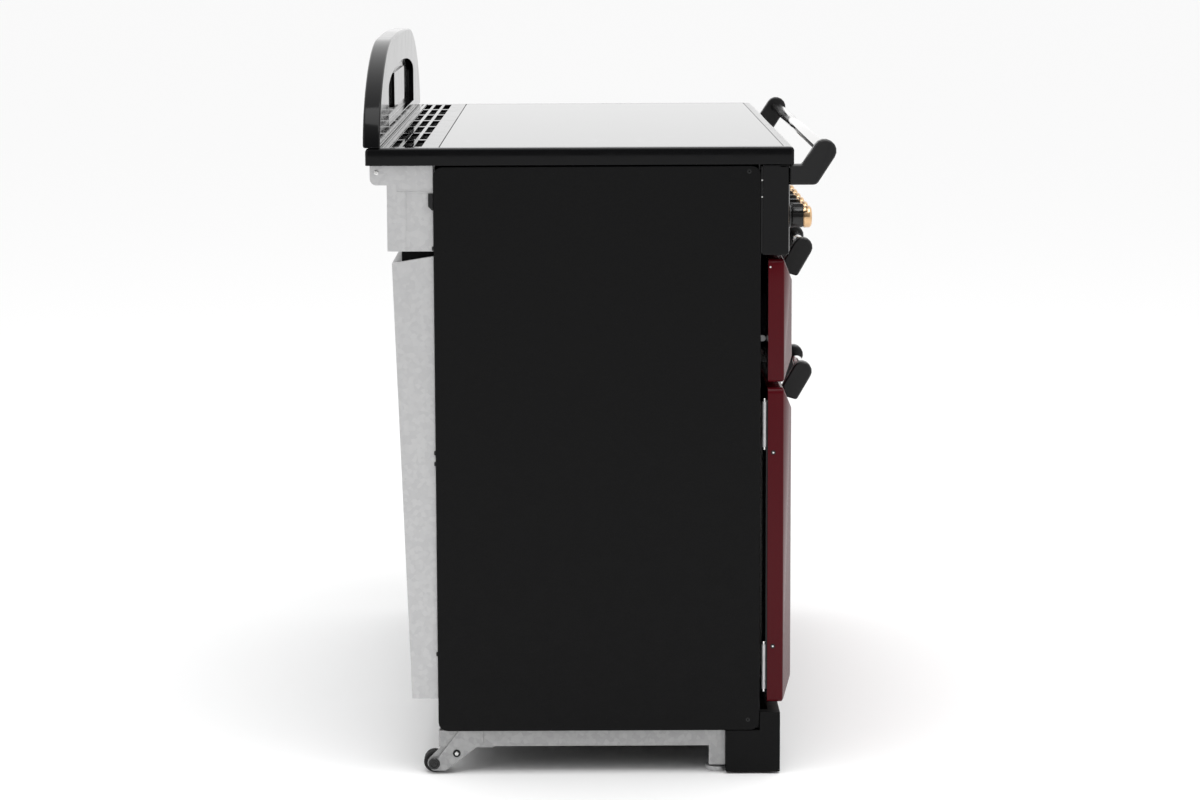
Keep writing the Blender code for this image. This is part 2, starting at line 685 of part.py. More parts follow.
# ---------------------------------------------------------------- fascia, knobs and rail


def make_fascia():
    middle = FASCIA_ROUND * EDGE_MIDDLE
    profile = [(0, FASCIA_DEEP), (0, FASCIA_ROUND), (middle, middle), (FASCIA_ROUND, 0)]
    low = (-SIDE_X, FASCIA_FOOT)
    high = (SIDE_X, FASCIA_TOP)
    shell = pan("XZ", low, high, FASCIA_CORNER, at(FASCIA_SETBACK), 1, profile, FASCIA_WALL, steps=1)
    piece("control_panel", shell, "black_enamel", smooth=True)


def knob_places():
    left = [-HALF + KNOB_END_MARGIN + i * KNOB_PITCH for i in range(KNOBS_LEFT)]
    right = [HALF - KNOB_END_MARGIN - i * KNOB_PITCH for i in range(KNOBS_RIGHT)]
    return left + right[::-1]


def make_knobs():
    face = at(FASCIA_SETBACK) - GAP
    height = FASCIA_TOP - KNOB_DROP
    tip = at(FASCIA_SETBACK) - KNOB_LONG
    collar = KNOB_RADIUS + KNOB_COLLAR_LIP
    steps = [(collar, face), (collar, face - KNOB_COLLAR_LONG)]
    steps += [(KNOB_RADIUS, face - KNOB_COLLAR_LONG), (KNOB_RADIUS, tip + KNOB_CHAMFER)]
    steps.append((KNOB_RADIUS - KNOB_CHAMFER, tip))
    for number, x in enumerate(knob_places(), 1):
        axis = pivot("knob_%d_axis" % number, (x, face, height))
        knob = turned("XZ", (x, height), steps, SMALL_ROUND)
        piece("knob_%d" % number, knob, "knob_black", axis, smooth=True)


def capsule_end(centre, radius, back, normal):
    """Two corners that round into the free end of an arm."""
    ends = []
    for side in (1, -1):
        corner = Vector(centre) - back * radius + side * normal * radius
        ends.append((corner.x, corner.y, radius * END_ARC))
    return ends


def make_rail():
    """The chrome rail in front of the hob, and its two cranked brackets on the fascia."""
    foot_y = at(FASCIA_SETBACK) - GAP
    low = SKIRT_FOOT - RAIL_FOOT_TALL - 2 * GAP
    high = SKIRT_FOOT - 2 * GAP
    centre = (at(-RAIL_REACH), HOB_HEIGHT - RAIL_DROP)
    back = Vector((cos(RAIL_SLANT), -sin(RAIL_SLANT)))
    normal = Vector((sin(RAIL_SLANT), cos(RAIL_SLANT)))
    upper = Vector(centre) + normal * RAIL_END_RADIUS
    lower = Vector(centre) - normal * RAIL_END_RADIUS
    elbow_in = upper + back * (upper.y - high) / sin(RAIL_SLANT)
    elbow_out = lower + back * (lower.y - low) / sin(RAIL_SLANT)
    corners = [(foot_y, low), (foot_y, high), (elbow_in.x, high, RAIL_ELBOW_INSIDE)]
    corners += capsule_end(centre, RAIL_END_RADIUS, back, normal)
    corners.append((elbow_out.x, low, RAIL_ELBOW_OUTSIDE))
    outline = rounded(corners)
    for side, name in ((-1, "left"), (1, "right")):
        start = side * SIDE_X if side < 0 else SIDE_X - RAIL_THICK
        arm = prism("YZ", outline, start, start + RAIL_THICK, BRACKET_CHAMFER)
        piece("rail_bracket_" + name, arm, "bracket_black", smooth=True)
    end = SIDE_X - RAIL_THICK - GAP
    bar = turned("YZ", centre, [(RAIL_BAR_RADIUS, -end), (RAIL_BAR_RADIUS, end)], BAR_ROUND)
    piece("rail_bar", bar, "chrome", smooth=True)


def make_handle(name, middle, door_top, drop, parent):
    """A short chrome bar on two slanting brackets, seated on the sloping border at the door's top."""
    face = at(0) - GAP
    centre = Vector((at(-HANDLE_REACH), door_top - drop))
    back = Vector((cos(HANDLE_SLANT), -sin(HANDLE_SLANT)))
    normal = Vector((sin(HANDLE_SLANT), cos(HANDLE_SLANT)))
    start = centre + normal * HANDLE_END_RADIUS
    border_foot = Vector((face, door_top - DOOR_BEVEL_RUN))
    border = Vector((DOOR_BEVEL_DEEP, DOOR_BEVEL_RUN))
    reach = (border_foot - start).cross(border) / back.cross(border)
    seat = start + back * reach
    toe_z = border_foot.y - HANDLE_TOE - drop + HANDLE_DROP
    lower = centre - normal * HANDLE_END_RADIUS
    toe_y = lower.x + (lower.y - toe_z) / tan(HANDLE_SLANT)
    corners = [(face, toe_z + HANDLE_FOOT_ABOVE_TOE), tuple(border_foot), tuple(seat)]
    corners += capsule_end(centre, HANDLE_END_RADIUS, back, normal)
    corners.append((toe_y, toe_z, HANDLE_TOE_ROUND))
    outline = rounded(corners)
    for side, end in ((-1, "left"), (1, "right")):
        x = middle + side * HANDLE_HALF_SPAN
        arm = prism("YZ", outline, x - HANDLE_THICK / 2, x + HANDLE_THICK / 2, BRACKET_CHAMFER)
        piece("%s_handle_%s" % (name, end), arm, "bracket_black", parent, smooth=True)
    half = HANDLE_HALF_SPAN - HANDLE_THICK / 2 - GAP
    steps = [(HANDLE_BAR_RADIUS, middle - half), (HANDLE_BAR_RADIUS, middle + half)]
    bar = turned("YZ", tuple(centre), steps, SMALL_ROUND)
    piece(name + "_handle_bar", bar, "chrome", parent, smooth=True)


# ---------------------------------------------------------------- doors and drawer


def make_front(name, x0, z0, tall, parent, handle_drop=HANDLE_DROP):
    """A pressed front with a raised flat face and a sloping border all round."""
    profile = [(0, DOOR_DEEP), (0, DOOR_BEVEL_DEEP), (DOOR_BEVEL_RUN, 0)]
    shell = pan("XZ", (x0, z0), (x0 + DOOR_WIDE, z0 + tall), DOOR_CORNER, at(0), 1, profile, DOOR_WALL)
    piece(name, shell, "cranberry_enamel", parent)
    make_handle(name.rsplit("_", 1)[0], x0 + DOOR_WIDE / 2, z0 + tall, handle_drop, parent)


def make_liner(name, x0, z0, tall, parent):
    """The sheet that closes a door's back, with a plug that fits the oven's mouth."""
    edge = DOOR_WALL + GAP
    low = (x0 + edge, z0 + edge)
    high = (x0 + DOOR_WIDE - edge, z0 + tall - edge)
    plug = OVEN_SIDE_MARGIN + LINER_PLUG_MARGIN
    profile = [(0, LINER_DEEP + LINER_PLUG), (0, LINER_PLUG), (plug, LINER_PLUG), (plug + LINER_PLUG, 0)]
    shell = pan("XZ", low, high, DOOR_CORNER - edge, at(DOOR_DEEP + LINER_PLUG), -1, profile, LINER_WALL)
    piece(name, shell, "oven_enamel", parent)


def make_oven_door(name, x0, z0, hinge_side):
    """A side-hinged door: its hinge strip carries two barrels on the hinge axis."""
    edge_x = x0 if hinge_side < 0 else x0 + DOOR_WIDE
    axis_x = edge_x - hinge_side * HINGE_EDGE
    axis = pivot(name + "_axis", (axis_x, at(HINGE_DEPTH), z0))
    make_front(name + "_panel", x0, z0, TALL_FRONT, axis)
    make_liner(name + "_liner", x0, z0, TALL_FRONT, axis)
    low_z = z0 + HINGE_END_MARGIN
    high_z = z0 + TALL_FRONT - HINGE_END_MARGIN
    near = edge_x - hinge_side * (DOOR_WALL + GAP)
    far = edge_x - hinge_side * HINGE_STRIP_WIDE
    back = at(DOOR_DEEP) + GAP
    strip = block((min(near, far), back, low_z), (max(near, far), back + HINGE_STRIP_THICK, high_z))
    hinge = piece(name + "_hinge", strip, "galvanised", axis)
    for foot in (low_z, high_z - HINGE_BARREL_TALL):
        steps = [(HINGE_BARREL_RADIUS, foot), (HINGE_BARREL_RADIUS, foot + HINGE_BARREL_TALL)]
        shape_with(hinge, turned("XY", (axis_x, at(HINGE_DEPTH)), steps, BARREL_ROUND), "UNION")


def make_grill_door():
    """The drop-down grill door, and the two arms that carry its pivot forward as it turns."""
    z0 = DOOR_TOP - SMALL_FRONT_TALL
    place = Vector((DOOR_LEFT + DOOR_WIDE / 2, at(HINGE_DEPTH), z0 + GRILL_PIVOT_RISE))
    axis = pivot("grill_door_axis", place)
    make_front("grill_door_panel", DOOR_LEFT, z0, SMALL_FRONT_TALL, axis)
    make_liner("grill_door_liner", DOOR_LEFT, z0, SMALL_FRONT_TALL, axis)
    knuckle = HINGE_GAP - GRILL_KNUCKLE_GAP
    low = place.z - knuckle
    front = place.y - knuckle
    high = low + GRILL_ARM_TALL
    end = place.y + GRILL_ARM_LONG
    end_round = knuckle * END_ARC
    corners = [(front, low, end_round), (end, low), (end, high), (place.y + GRILL_ARM_TALL, high)]
    corners += [(place.y + knuckle, place.z + knuckle), (front, place.z + knuckle, end_round)]
    outline = rounded(corners)
    arms = pivot("grill_hinge_slide", place)
    x0, x1 = bays()["grill"][:2]
    wall = SHEET + GAP
    for name, inner, side in (("left", x0 - wall, -1), ("right", x1 + wall, 1)):
        outer = inner + side * GRILL_ARM_THICK
        arm = prism("YZ", outline, min(inner, outer), max(inner, outer))
        piece("grill_hinge_" + name, arm, "galvanised", arms)


def make_drawer():
    """The storage drawer. Its handle sits low enough for the door above to swing over it."""
    x0, x1, z0, z1 = bays()["drawer"]
    slide = pivot("drawer_slide", ((x0 + x1) / 2, at(DOOR_DEEP), z0))
    drop = HANDLE_END_RADIUS - DOOR_STACK_GAP + HANDLE_SWEEP_GAP
    make_front("drawer_front", DOOR_CENTRE_GAP / 2, DOOR_FOOT, SMALL_FRONT_TALL, slide, drop)
    low = (x0 + GAP, at(DOOR_DEEP) + GAP)
    high = (x1 - GAP, at(PANEL_BACK - DRAWER_BACK_SPACE))
    floor = z0 + GAP
    profile = [(0, DRAWER_TALL), (0, DRAWER_FOOT_EDGE), (DRAWER_FOOT_EDGE, 0)]
    box = pan("XY", low, high, DRAWER_CORNER, floor, 1, profile, SHEET)
    piece("drawer_box", box, "galvanised", slide)


# ---------------------------------------------------------------- inside the ovens


def make_shelf(name, bay):
    """A flat shelf of straight wires in a rim, half way up its oven."""
    x0, x1, z0, z1 = bays()[bay]
    low = (x0 + GAP, at(FRAME_BACK + OVEN_CORNER), (z0 + z1) / 2)
    high = (x1 - GAP, at(FRAME_BACK + OVEN_DEEP - SHELF_END_GAP), low[2] + SHELF_THICK)
    shelf = piece(name, block(low, high), "chrome")
    span = high[0] - low[0] - 2 * SHELF_RIM + SHELF_WIRE
    pitch = span / SHELF_SLOTS
    slots = []
    for i in range(SHELF_SLOTS):
        start = low[0] + SHELF_RIM + i * pitch
        near = (start, low[1] + SHELF_RIM, low[2] - SHELF_THICK)
        slots.append(block(near, (start + pitch - SHELF_WIRE, high[1] - SHELF_RIM, high[2] + SHELF_THICK)))
    shape_with(shelf, join_meshes(slots), "DIFFERENCE")


def make_grill_pan():
    x0, x1, z0, z1 = bays()["grill"]
    low = (x0 + GRILL_PAN_SIDE_GAP, at(FRAME_BACK + OVEN_CORNER))
    high = (x1 - GRILL_PAN_SIDE_GAP, at(FRAME_BACK + GRILL_DEEP - GRILL_PAN_END_GAP))
    edge = GRILL_PAN_FOOT_EDGE
    profile = [(0, GRILL_PAN_TALL), (GRILL_PAN_SLOPE, edge), (GRILL_PAN_SLOPE + edge, 0)]
    tray = pan("XY", low, high, GRILL_PAN_CORNER, z0 + GAP, 1, profile, SHEET)
    piece("grill_pan", tray, "oven_enamel")


# ---------------------------------------------------------------- rollers and feet


def make_rollers():
    """Two rollers behind the base, each on a slanting arm whose axle runs through it."""
    wheel = (at(PANEL_BACK + ROLLER_BEHIND_PANEL), ROLLER_RADIUS)
    back = Vector((-cos(ARM_SLANT), sin(ARM_SLANT)))
    normal = Vector((sin(ARM_SLANT), cos(ARM_SLANT)))
    top = BASE_TOP - BASE_SHEET - GAP
    radius = ARM_WIDE / 2
    upper = Vector(wheel) + normal * radius
    lower = Vector(wheel) - normal * radius
    high = upper + back * (top - upper.y) / sin(ARM_SLANT)
    low = lower + back * (top - BASE_TALL - lower.y) / sin(ARM_SLANT)
    corners = [(high.x, top), (high.x - ARM_RUN, top), (high.x - ARM_RUN, low.y), (low.x, low.y)]
    corners += capsule_end(wheel, radius, back, -normal)
    outline = rounded(corners)
    for side, name in ((-1, "left"), (1, "right")):
        outer = side * (BASE_X - BASE_SHEET - GAP)
        inner = outer - side * ARM_THICK
        arm = prism("YZ", outline, min(outer, inner), max(outer, inner))
        arm_piece = piece("roller_arm_" + name, arm, "galvanised")
        far = inner - side * (ROLLER_SIDE_GAP + ROLLER_WIDE + ROLLER_SIDE_GAP)
        pin = [(AXLE_RADIUS, (outer + inner) / 2), (AXLE_RADIUS, far)]
        pin += [(AXLE_HEAD_RADIUS, far), (AXLE_HEAD_RADIUS, far - side * AXLE_HEAD_LONG)]
        shape_with(arm_piece, turned("YZ", wheel, pin, SMALL_ROUND), "UNION")
        near = inner - side * ROLLER_SIDE_GAP
        make_roller("roller_" + name, wheel, near, near - side * ROLLER_WIDE)


def make_roller(name, centre, start, end):
    axis = pivot(name + "_axis", ((start + end) / 2, *centre))
    edge = ROLLER_EDGE * (1 if end > start else -1)
    shoulder = ROLLER_RADIUS - ROLLER_EDGE
    steps = [(ROLLER_BORE, start), (shoulder, start), (ROLLER_RADIUS, start + edge)]
    steps += [(ROLLER_RADIUS, end - edge), (shoulder, end), (ROLLER_BORE, end)]
    loops = [in_plane(circle(centre, radius, FINE_ROUND), "YZ", x) for radius, x in steps]
    piece(name, loft(loops, ring=True), "rubber", axis, smooth=True)


def make_feet():
    y = at(BASE_FRONT + FOOT_BRACKET_DEEP / 2)
    top = FOOT_TALL - GAP
    steps = [(FOOT_RADIUS, 0), (FOOT_RADIUS, FOOT_DISC - FOOT_EDGE)]
    steps += [(FOOT_NECK_RADIUS, FOOT_DISC), (FOOT_NECK_RADIUS, top)]
    for side, name in ((-1, "left"), (1, "right")):
        x = side * (BASE_X - FOOT_BRACKET_WIDE / 2)
        axis = pivot("levelling_foot_%s_axis" % name, (x, y, 0))
        foot = turned("XY", (x, y), steps, SMALL_ROUND)
        piece("levelling_foot_" + name, foot, "galvanised", axis, smooth=True)


def main():
    clear_scene()
    make_base()
    make_plinth()
    make_side_panels()
    make_front_frame()
    make_cavities()
    make_back()
    make_hob()
    make_guard()
    make_fascia()
    make_knobs()
    make_rail()
    lower = DOOR_FOOT
    upper = DOOR_FOOT + SMALL_FRONT_TALL + DOOR_STACK_GAP
    make_oven_door("left_oven_door", DOOR_LEFT, lower, -1)
    make_oven_door("right_oven_door", DOOR_CENTRE_GAP / 2, upper, 1)
    make_grill_door()
    make_drawer()
    make_shelf("left_oven_shelf", "left_oven")
    make_shelf("right_oven_shelf", "right_oven")
    make_grill_pan()
    make_rollers()
    make_feet()


main()
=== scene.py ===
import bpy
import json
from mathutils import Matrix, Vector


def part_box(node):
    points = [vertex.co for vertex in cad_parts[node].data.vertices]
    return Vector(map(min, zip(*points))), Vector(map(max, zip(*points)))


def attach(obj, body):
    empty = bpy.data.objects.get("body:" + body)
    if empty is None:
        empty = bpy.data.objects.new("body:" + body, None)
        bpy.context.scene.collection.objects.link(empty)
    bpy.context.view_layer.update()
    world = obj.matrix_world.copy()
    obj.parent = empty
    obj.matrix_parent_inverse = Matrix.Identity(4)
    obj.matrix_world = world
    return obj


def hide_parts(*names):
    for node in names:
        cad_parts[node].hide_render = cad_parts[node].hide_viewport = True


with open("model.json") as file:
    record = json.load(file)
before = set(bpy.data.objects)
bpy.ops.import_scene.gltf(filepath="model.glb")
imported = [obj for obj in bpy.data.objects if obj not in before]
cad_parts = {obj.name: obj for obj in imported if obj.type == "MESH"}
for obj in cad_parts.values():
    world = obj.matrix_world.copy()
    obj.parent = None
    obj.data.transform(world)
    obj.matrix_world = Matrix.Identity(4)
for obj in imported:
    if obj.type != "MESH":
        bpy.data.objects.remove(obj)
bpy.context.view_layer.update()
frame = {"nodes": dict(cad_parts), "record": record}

# %% [markdown]
# ## Where things are
# Every place is read from the frame, so that a new piece always meets the part it belongs to. Depths are
# measured back from the front edge of the hob, as a fitter measures a cooker under a worktop.
# %% Places read from the frame
import json
from math import cos, pi, radians, sin

import bmesh
import bpy
from mathutils import Vector

MM = 0.001
HOB_LOW, HOB_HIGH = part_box("hob_frame")
BODY_OF = {node: body for body, nodes in frame["record"]["behaviour"]["bodies"].items() for node in nodes}


def at(depth):
    """The Y of a depth behind the hob's front edge."""
    return HOB_LOW.y + depth


print("hob front at y =", round(at(0), 4), "and", len(BODY_OF), "parts in the frame")

# %% [markdown]
# ## The camera
# The cooker is seen square on from its left side, from a little above the hob. A long lens keeps the sides
# nearly parallel, and a small shift of the lens keeps the whole cooker in the frame.
# %% Set up the camera
CAMERA_DISTANCE = 4.266
CAMERA_BEHIND_FRONT = 304 * MM
CAMERA_ABOVE_HOB = 309 * MM
CAMERA_PITCH = radians(-7.3)
CAMERA_ROLL = radians(-0.25)

bpy.ops.object.camera_add(
    location=(HOB_LOW.x - CAMERA_DISTANCE, at(CAMERA_BEHIND_FRONT), HOB_HIGH.z + CAMERA_ABOVE_HOB),
    rotation=(radians(90) + CAMERA_PITCH, 0, radians(-90)),
)
camera = bpy.context.object
camera.rotation_euler.rotate_axis("Z", CAMERA_ROLL)
camera.data.lens = 90.3
camera.data.sensor_width = 36
camera.data.shift_x = 0.0158
camera.data.shift_y = -0.072
camera.data.clip_end = 300
bpy.context.scene.camera = camera
print("camera", [round(v, 3) for v in camera.location])

# %% [markdown]
# ## Floor and light
# A product studio is a white room: the gloss surfaces show it as pale reflections. The world is white all
# round and dimmer behind the camera, so that the dark side panel stays dark. One wide lamp overhead gives
# the tops of things a soft edge of light.
# %% Lay the floor and light the room
FLOOR_SIZE = 240
ROOM_WHITE = 1.14
ROOM_BEHIND = 0.12

bpy.ops.mesh.primitive_plane_add(size=FLOOR_SIZE, location=(0, 0, 0))
floor = bpy.context.object
floor.name = "floor"

world = bpy.data.worlds.new("white_room")
world.use_nodes = True
bpy.context.scene.world = world
nodes, links = world.node_tree.nodes, world.node_tree.links
direction = nodes.new("ShaderNodeTexCoord")
split = nodes.new("ShaderNodeSeparateXYZ")
shade = nodes.new("ShaderNodeMapRange")
shade.inputs["From Min"].default_value = -1.0
shade.inputs["From Max"].default_value = -0.2
shade.inputs["To Min"].default_value = ROOM_BEHIND
shade.inputs["To Max"].default_value = ROOM_WHITE
links.new(direction.outputs["Generated"], split.inputs[0])
links.new(split.outputs["X"], shade.inputs["Value"])
links.new(shade.outputs["Result"], nodes["Background"].inputs["Strength"])
nodes["Background"].inputs["Color"].default_value = (1, 1, 1, 1)


def soft_lamp(name, place, aim, size, watts):
    """A wide square lamp that faces a point."""
    place, aim = Vector(place), Vector(aim)
    facing = (aim - place).to_track_quat("-Z", "Y").to_euler()
    bpy.ops.object.light_add(type="AREA", location=place, rotation=facing)
    lamp = bpy.context.object
    lamp.name = name
    lamp.data.size = size
    lamp.data.energy = watts


soft_lamp("overhead_lamp", (-1.2, -0.6, 3.6), (0, 0, 0.6), 2.6, 60)
soft_lamp("side_lamp", (-2.6, 1.9, 2.2), (-0.4, 0, 0.5), 1.6, 8)
bpy.context.scene.view_settings.view_transform = "Standard"
print("floor, world and 2 lamps ready")

# %% [markdown]
# ## Building finishes from nodes
# Each material starts as one Principled shader with its plain values. Texture nodes then vary what the
# eye looks for: a little roughness, a little colour, a little relief. All of them read Object
# coordinates, so a pattern stays on its piece when a door swings.
# %% Helpers for materials


def finish(name, colour, roughness, metallic=0.0, specular=0.5):
    """A plain material, before any texture is added."""
    material = bpy.data.materials.new(name + "_look")
    material["slot"] = name
    material.use_nodes = True
    shader = material.node_tree.nodes["Principled BSDF"]
    shader.inputs["Base Color"].default_value = (*colour, 1)
    shader.inputs["Roughness"].default_value = roughness
    shader.inputs["Metallic"].default_value = metallic
    shader.inputs["Specular IOR Level"].default_value = specular
    return material


def texture(material, kind, scale, stretch=(1, 1, 1)):
    """A texture node that reads the piece's own coordinates, stretched along an axis where asked."""
    nodes, links = material.node_tree.nodes, material.node_tree.links
    place = nodes.new("ShaderNodeTexCoord")
    mapping = nodes.new("ShaderNodeMapping")
    mapping.inputs["Scale"].default_value = stretch
    pattern = nodes.new(kind)
    pattern.inputs["Scale"].default_value = scale
    links.new(place.outputs["Object"], mapping.inputs["Vector"])
    links.new(mapping.outputs["Vector"], pattern.inputs["Vector"])
    return pattern


def vary(material, output, socket, low, high, start=0.35, stop=0.65):
    """Runs a shader value between two limits as the texture runs from dark to light."""
    nodes, links = material.node_tree.nodes, material.node_tree.links
    spread = nodes.new("ShaderNodeMapRange")
    for key, value in (("From Min", start), ("From Max", stop), ("To Min", low), ("To Max", high)):
        spread.inputs[key].default_value = value
    links.new(output, spread.inputs["Value"])
    links.new(spread.outputs["Result"], nodes["Principled BSDF"].inputs[socket])


def tint(material, output, dark, light, start=0.4, stop=0.6):
    """Colours the surface from dark to light along the texture."""
    nodes, links = material.node_tree.nodes, material.node_tree.links
    ramp = nodes.new("ShaderNodeValToRGB")
    ramp.color_ramp.elements[0].position = start
    ramp.color_ramp.elements[0].color = (*dark, 1)
    ramp.color_ramp.elements[1].position = stop
    ramp.color_ramp.elements[1].color = (*light, 1)
    links.new(output, ramp.inputs["Fac"])
    links.new(ramp.outputs["Color"], nodes["Principled BSDF"].inputs["Base Color"])


def emboss(material, output, depth, strength=1.0):
    """Raises the light parts of the texture by a depth in metres."""
    nodes, links = material.node_tree.nodes, material.node_tree.links
    bump = nodes.new("ShaderNodeBump")
    bump.inputs["Distance"].default_value = depth
    bump.inputs["Strength"].default_value = strength
    links.new(output, bump.inputs["Height"])
    links.new(bump.outputs["Normal"], nodes["Principled BSDF"].inputs["Normal"])


print("material helpers ready")

# %% [markdown]
# ## Enamel, glass and paint
# Vitreous enamel is glass melted onto steel: deep colour, a mirror gloss, and a faint ripple that bends
# long reflections. The side panel is powder coat with a baked-in grain that scatters light, so it is
# nearly matt. The pale floor is plain.
# %% Mix the coatings
black_enamel = finish("black_enamel", (0.004, 0.004, 0.0044), 0.07, specular=0.17)
ripple = texture(black_enamel, "ShaderNodeTexNoise", 22)
emboss(black_enamel, ripple.outputs["Fac"], 0.05 * MM, 0.3)
vary(black_enamel, ripple.outputs["Fac"], "Roughness", 0.05, 0.10)

cranberry = finish("cranberry_enamel", (0.070, 0.004, 0.007), 0.12, specular=0.11)
ripple = texture(cranberry, "ShaderNodeTexNoise", 16)
emboss(cranberry, ripple.outputs["Fac"], 0.06 * MM, 0.3)
depth_of_colour = texture(cranberry, "ShaderNodeTexNoise", 3)
tint(cranberry, depth_of_colour.outputs["Fac"], (0.065, 0.0036, 0.0064), (0.076, 0.0046, 0.0078), 0.3, 0.7)

textured_black = finish("textured_black", (0.0032, 0.0032, 0.0034), 0.5, specular=0.13)
grain = texture(textured_black, "ShaderNodeTexVoronoi", 520)
emboss(textured_black, grain.outputs["Distance"], 0.22 * MM, 0.75)
wear = texture(textured_black, "ShaderNodeTexNoise", 40)
vary(textured_black, wear.outputs["Fac"], "Roughness", 0.48, 0.54)

oven_enamel = finish("oven_enamel", (0.02, 0.02, 0.022), 0.22, specular=0.4)
speckle = texture(oven_enamel, "ShaderNodeTexNoise", 900)
tint(oven_enamel, speckle.outputs["Fac"], (0.016, 0.016, 0.018), (0.16, 0.16, 0.17), 0.63, 0.70)

pale_floor = finish("pale_floor", (0.97, 0.97, 0.97), 0.9, specular=0.0)
floor.data.materials.append(pale_floor)
print("coatings:", black_enamel.name, cranberry.name, textured_black.name, oven_enamel.name)

# %% [markdown]
# ## Metals
# Galvanised sheet shows the crystals that zinc grows as it cools, as flakes of slightly different grey.
# Chrome is a mirror with faint wiping marks, brass is softer and warm, and screws are bright zinc.
# %% Mix the metals
galvanised = finish("galvanised", (0.55, 0.55, 0.55), 0.42, metallic=0.6)
spangle = texture(galvanised, "ShaderNodeTexVoronoi", 160)
tint(galvanised, spangle.outputs["Color"], (0.52, 0.52, 0.525), (0.57, 0.57, 0.572), 0.2, 0.8)
vary(galvanised, spangle.outputs["Distance"], "Roughness", 0.36, 0.50, 0.0, 0.8)

# Painted shade: a darker copy of the galvanised finish, sharing its slot, for the base frame, roller arms and
# cheeks that sit low under the cooker.
shaded_zinc = finish("shaded_zinc", (0.40, 0.40, 0.40), 0.5, metallic=0.6)
shaded_spangle = texture(shaded_zinc, "ShaderNodeTexVoronoi", 160)
tint(shaded_zinc, shaded_spangle.outputs["Color"], (0.36, 0.36, 0.362), (0.42, 0.42, 0.42), 0.2, 0.8)
shaded_zinc["slot"] = "galvanised"
vary(shaded_zinc, shaded_spangle.outputs["Distance"], "Roughness", 0.42, 0.58, 0.0, 0.8)

chrome = finish("chrome", (0.74, 0.735, 0.73), 0.06, metallic=1.0)
wiping = texture(chrome, "ShaderNodeTexNoise", 60, (0.06, 1, 1))
vary(chrome, wiping.outputs["Fac"], "Roughness", 0.04, 0.11)

brass = finish("brass", (0.78, 0.50, 0.25), 0.17, metallic=1.0)
polish = texture(brass, "ShaderNodeTexNoise", 420)
vary(brass, polish.outputs["Fac"], "Roughness", 0.12, 0.26)
tarnish = texture(brass, "ShaderNodeTexNoise", 55)
tint(brass, tarnish.outputs["Fac"], (0.68, 0.45, 0.25), (0.76, 0.53, 0.32), 0.35, 0.65)

zinc = finish("zinc", (0.78, 0.78, 0.77), 0.24, metallic=1.0)
scuffs = texture(zinc, "ShaderNodeTexNoise", 700)
vary(zinc, scuffs.outputs["Fac"], "Roughness", 0.18, 0.36)
heater = finish("heater_sheath", (0.16, 0.15, 0.145), 0.45, metallic=1.0)
oxide = texture(heater, "ShaderNodeTexNoise", 120)
tint(heater, oxide.outputs["Fac"], (0.10, 0.095, 0.09), (0.20, 0.19, 0.18), 0.35, 0.65)
print("metals:", galvanised.name, chrome.name, brass.name, zinc.name)

# %% [markdown]
# ## Plastics, rubber, cord and print
# Die-cast brackets have a satin black paint, knobs are gloss plastic, the roller tyres are rubber, and the
# door seal is a braided glass cord. Marks on the fascia are a thin print.
# %% Mix the rest
satin_black = finish("bracket_black", (0.008, 0.008, 0.0085), 0.34, specular=0.32)
cast_grain = texture(satin_black, "ShaderNodeTexNoise", 650)
emboss(satin_black, cast_grain.outputs["Fac"], 0.05 * MM, 0.5)
vary(satin_black, cast_grain.outputs["Fac"], "Roughness", 0.28, 0.42)

knob_black = finish("knob_black", (0.010, 0.010, 0.010), 0.2, specular=0.45)
moulding = texture(knob_black, "ShaderNodeTexNoise", 300)
vary(knob_black, moulding.outputs["Fac"], "Roughness", 0.14, 0.26)

rubber = finish("rubber", (0.014, 0.014, 0.014), 0.7, specular=0.3)
tread_grain = texture(rubber, "ShaderNodeTexNoise", 480)
emboss(rubber, tread_grain.outputs["Fac"], 0.12 * MM, 0.6)

seal_cord = finish("seal_cord", (0.10, 0.10, 0.10), 0.85, specular=0.2)
braid = texture(seal_cord, "ShaderNodeTexVoronoi", 620)
emboss(seal_cord, braid.outputs["Distance"], 0.4 * MM, 0.9)
tint(seal_cord, braid.outputs["Distance"], (0.05, 0.05, 0.05), (0.17, 0.17, 0.165), 0.1, 0.6)

pale_print = finish("pale_print", (0.62, 0.60, 0.55), 0.5)
print_edge = texture(pale_print, "ShaderNodeTexNoise", 900)
vary(pale_print, print_edge.outputs["Fac"], "Roughness", 0.4, 0.6)

# Painted shade: a near-black matt finish for the plates that stand in for the shade inside the flue and
# behind the rear cover. The hob gasket uses it as its own black.
gasket_and_shade_black = finish("gasket_and_shade_black", (0.004, 0.004, 0.004), 0.8, specular=0.1)
dull_patches = texture(gasket_and_shade_black, "ShaderNodeTexNoise", 80)
vary(gasket_and_shade_black, dull_patches.outputs["Fac"], "Roughness", 0.7, 0.95)
print("other finishes:", satin_black.name, knob_black.name, rubber.name, seal_cord.name)

# %% [markdown]
# ## The hob glass and its zones
# The glass is one flat sheet of black ceramic. Its cooking zones are printed under the polish as thin
# rings, and they only show from above. A ring is where the distance from the zone's centre is nearly
# its radius, so each is a short chain of maths nodes and the chains are added up.
# %% Print the zones into the glass
ZONE_LINE = 1.1 * MM
ZONE_GREY = (0.20, 0.20, 0.21)
GLASS_BLACK = (0.004, 0.004, 0.0045)
glass_low, glass_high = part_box("hob_glass")
glass_middle = (glass_low + glass_high) / 2
ZONES = [(-0.405, -0.120, 80), (-0.405, 0.115, 95), (0.0, 0.0, 120), (0.405, -0.115, 95), (0.405, 0.120, 80)]

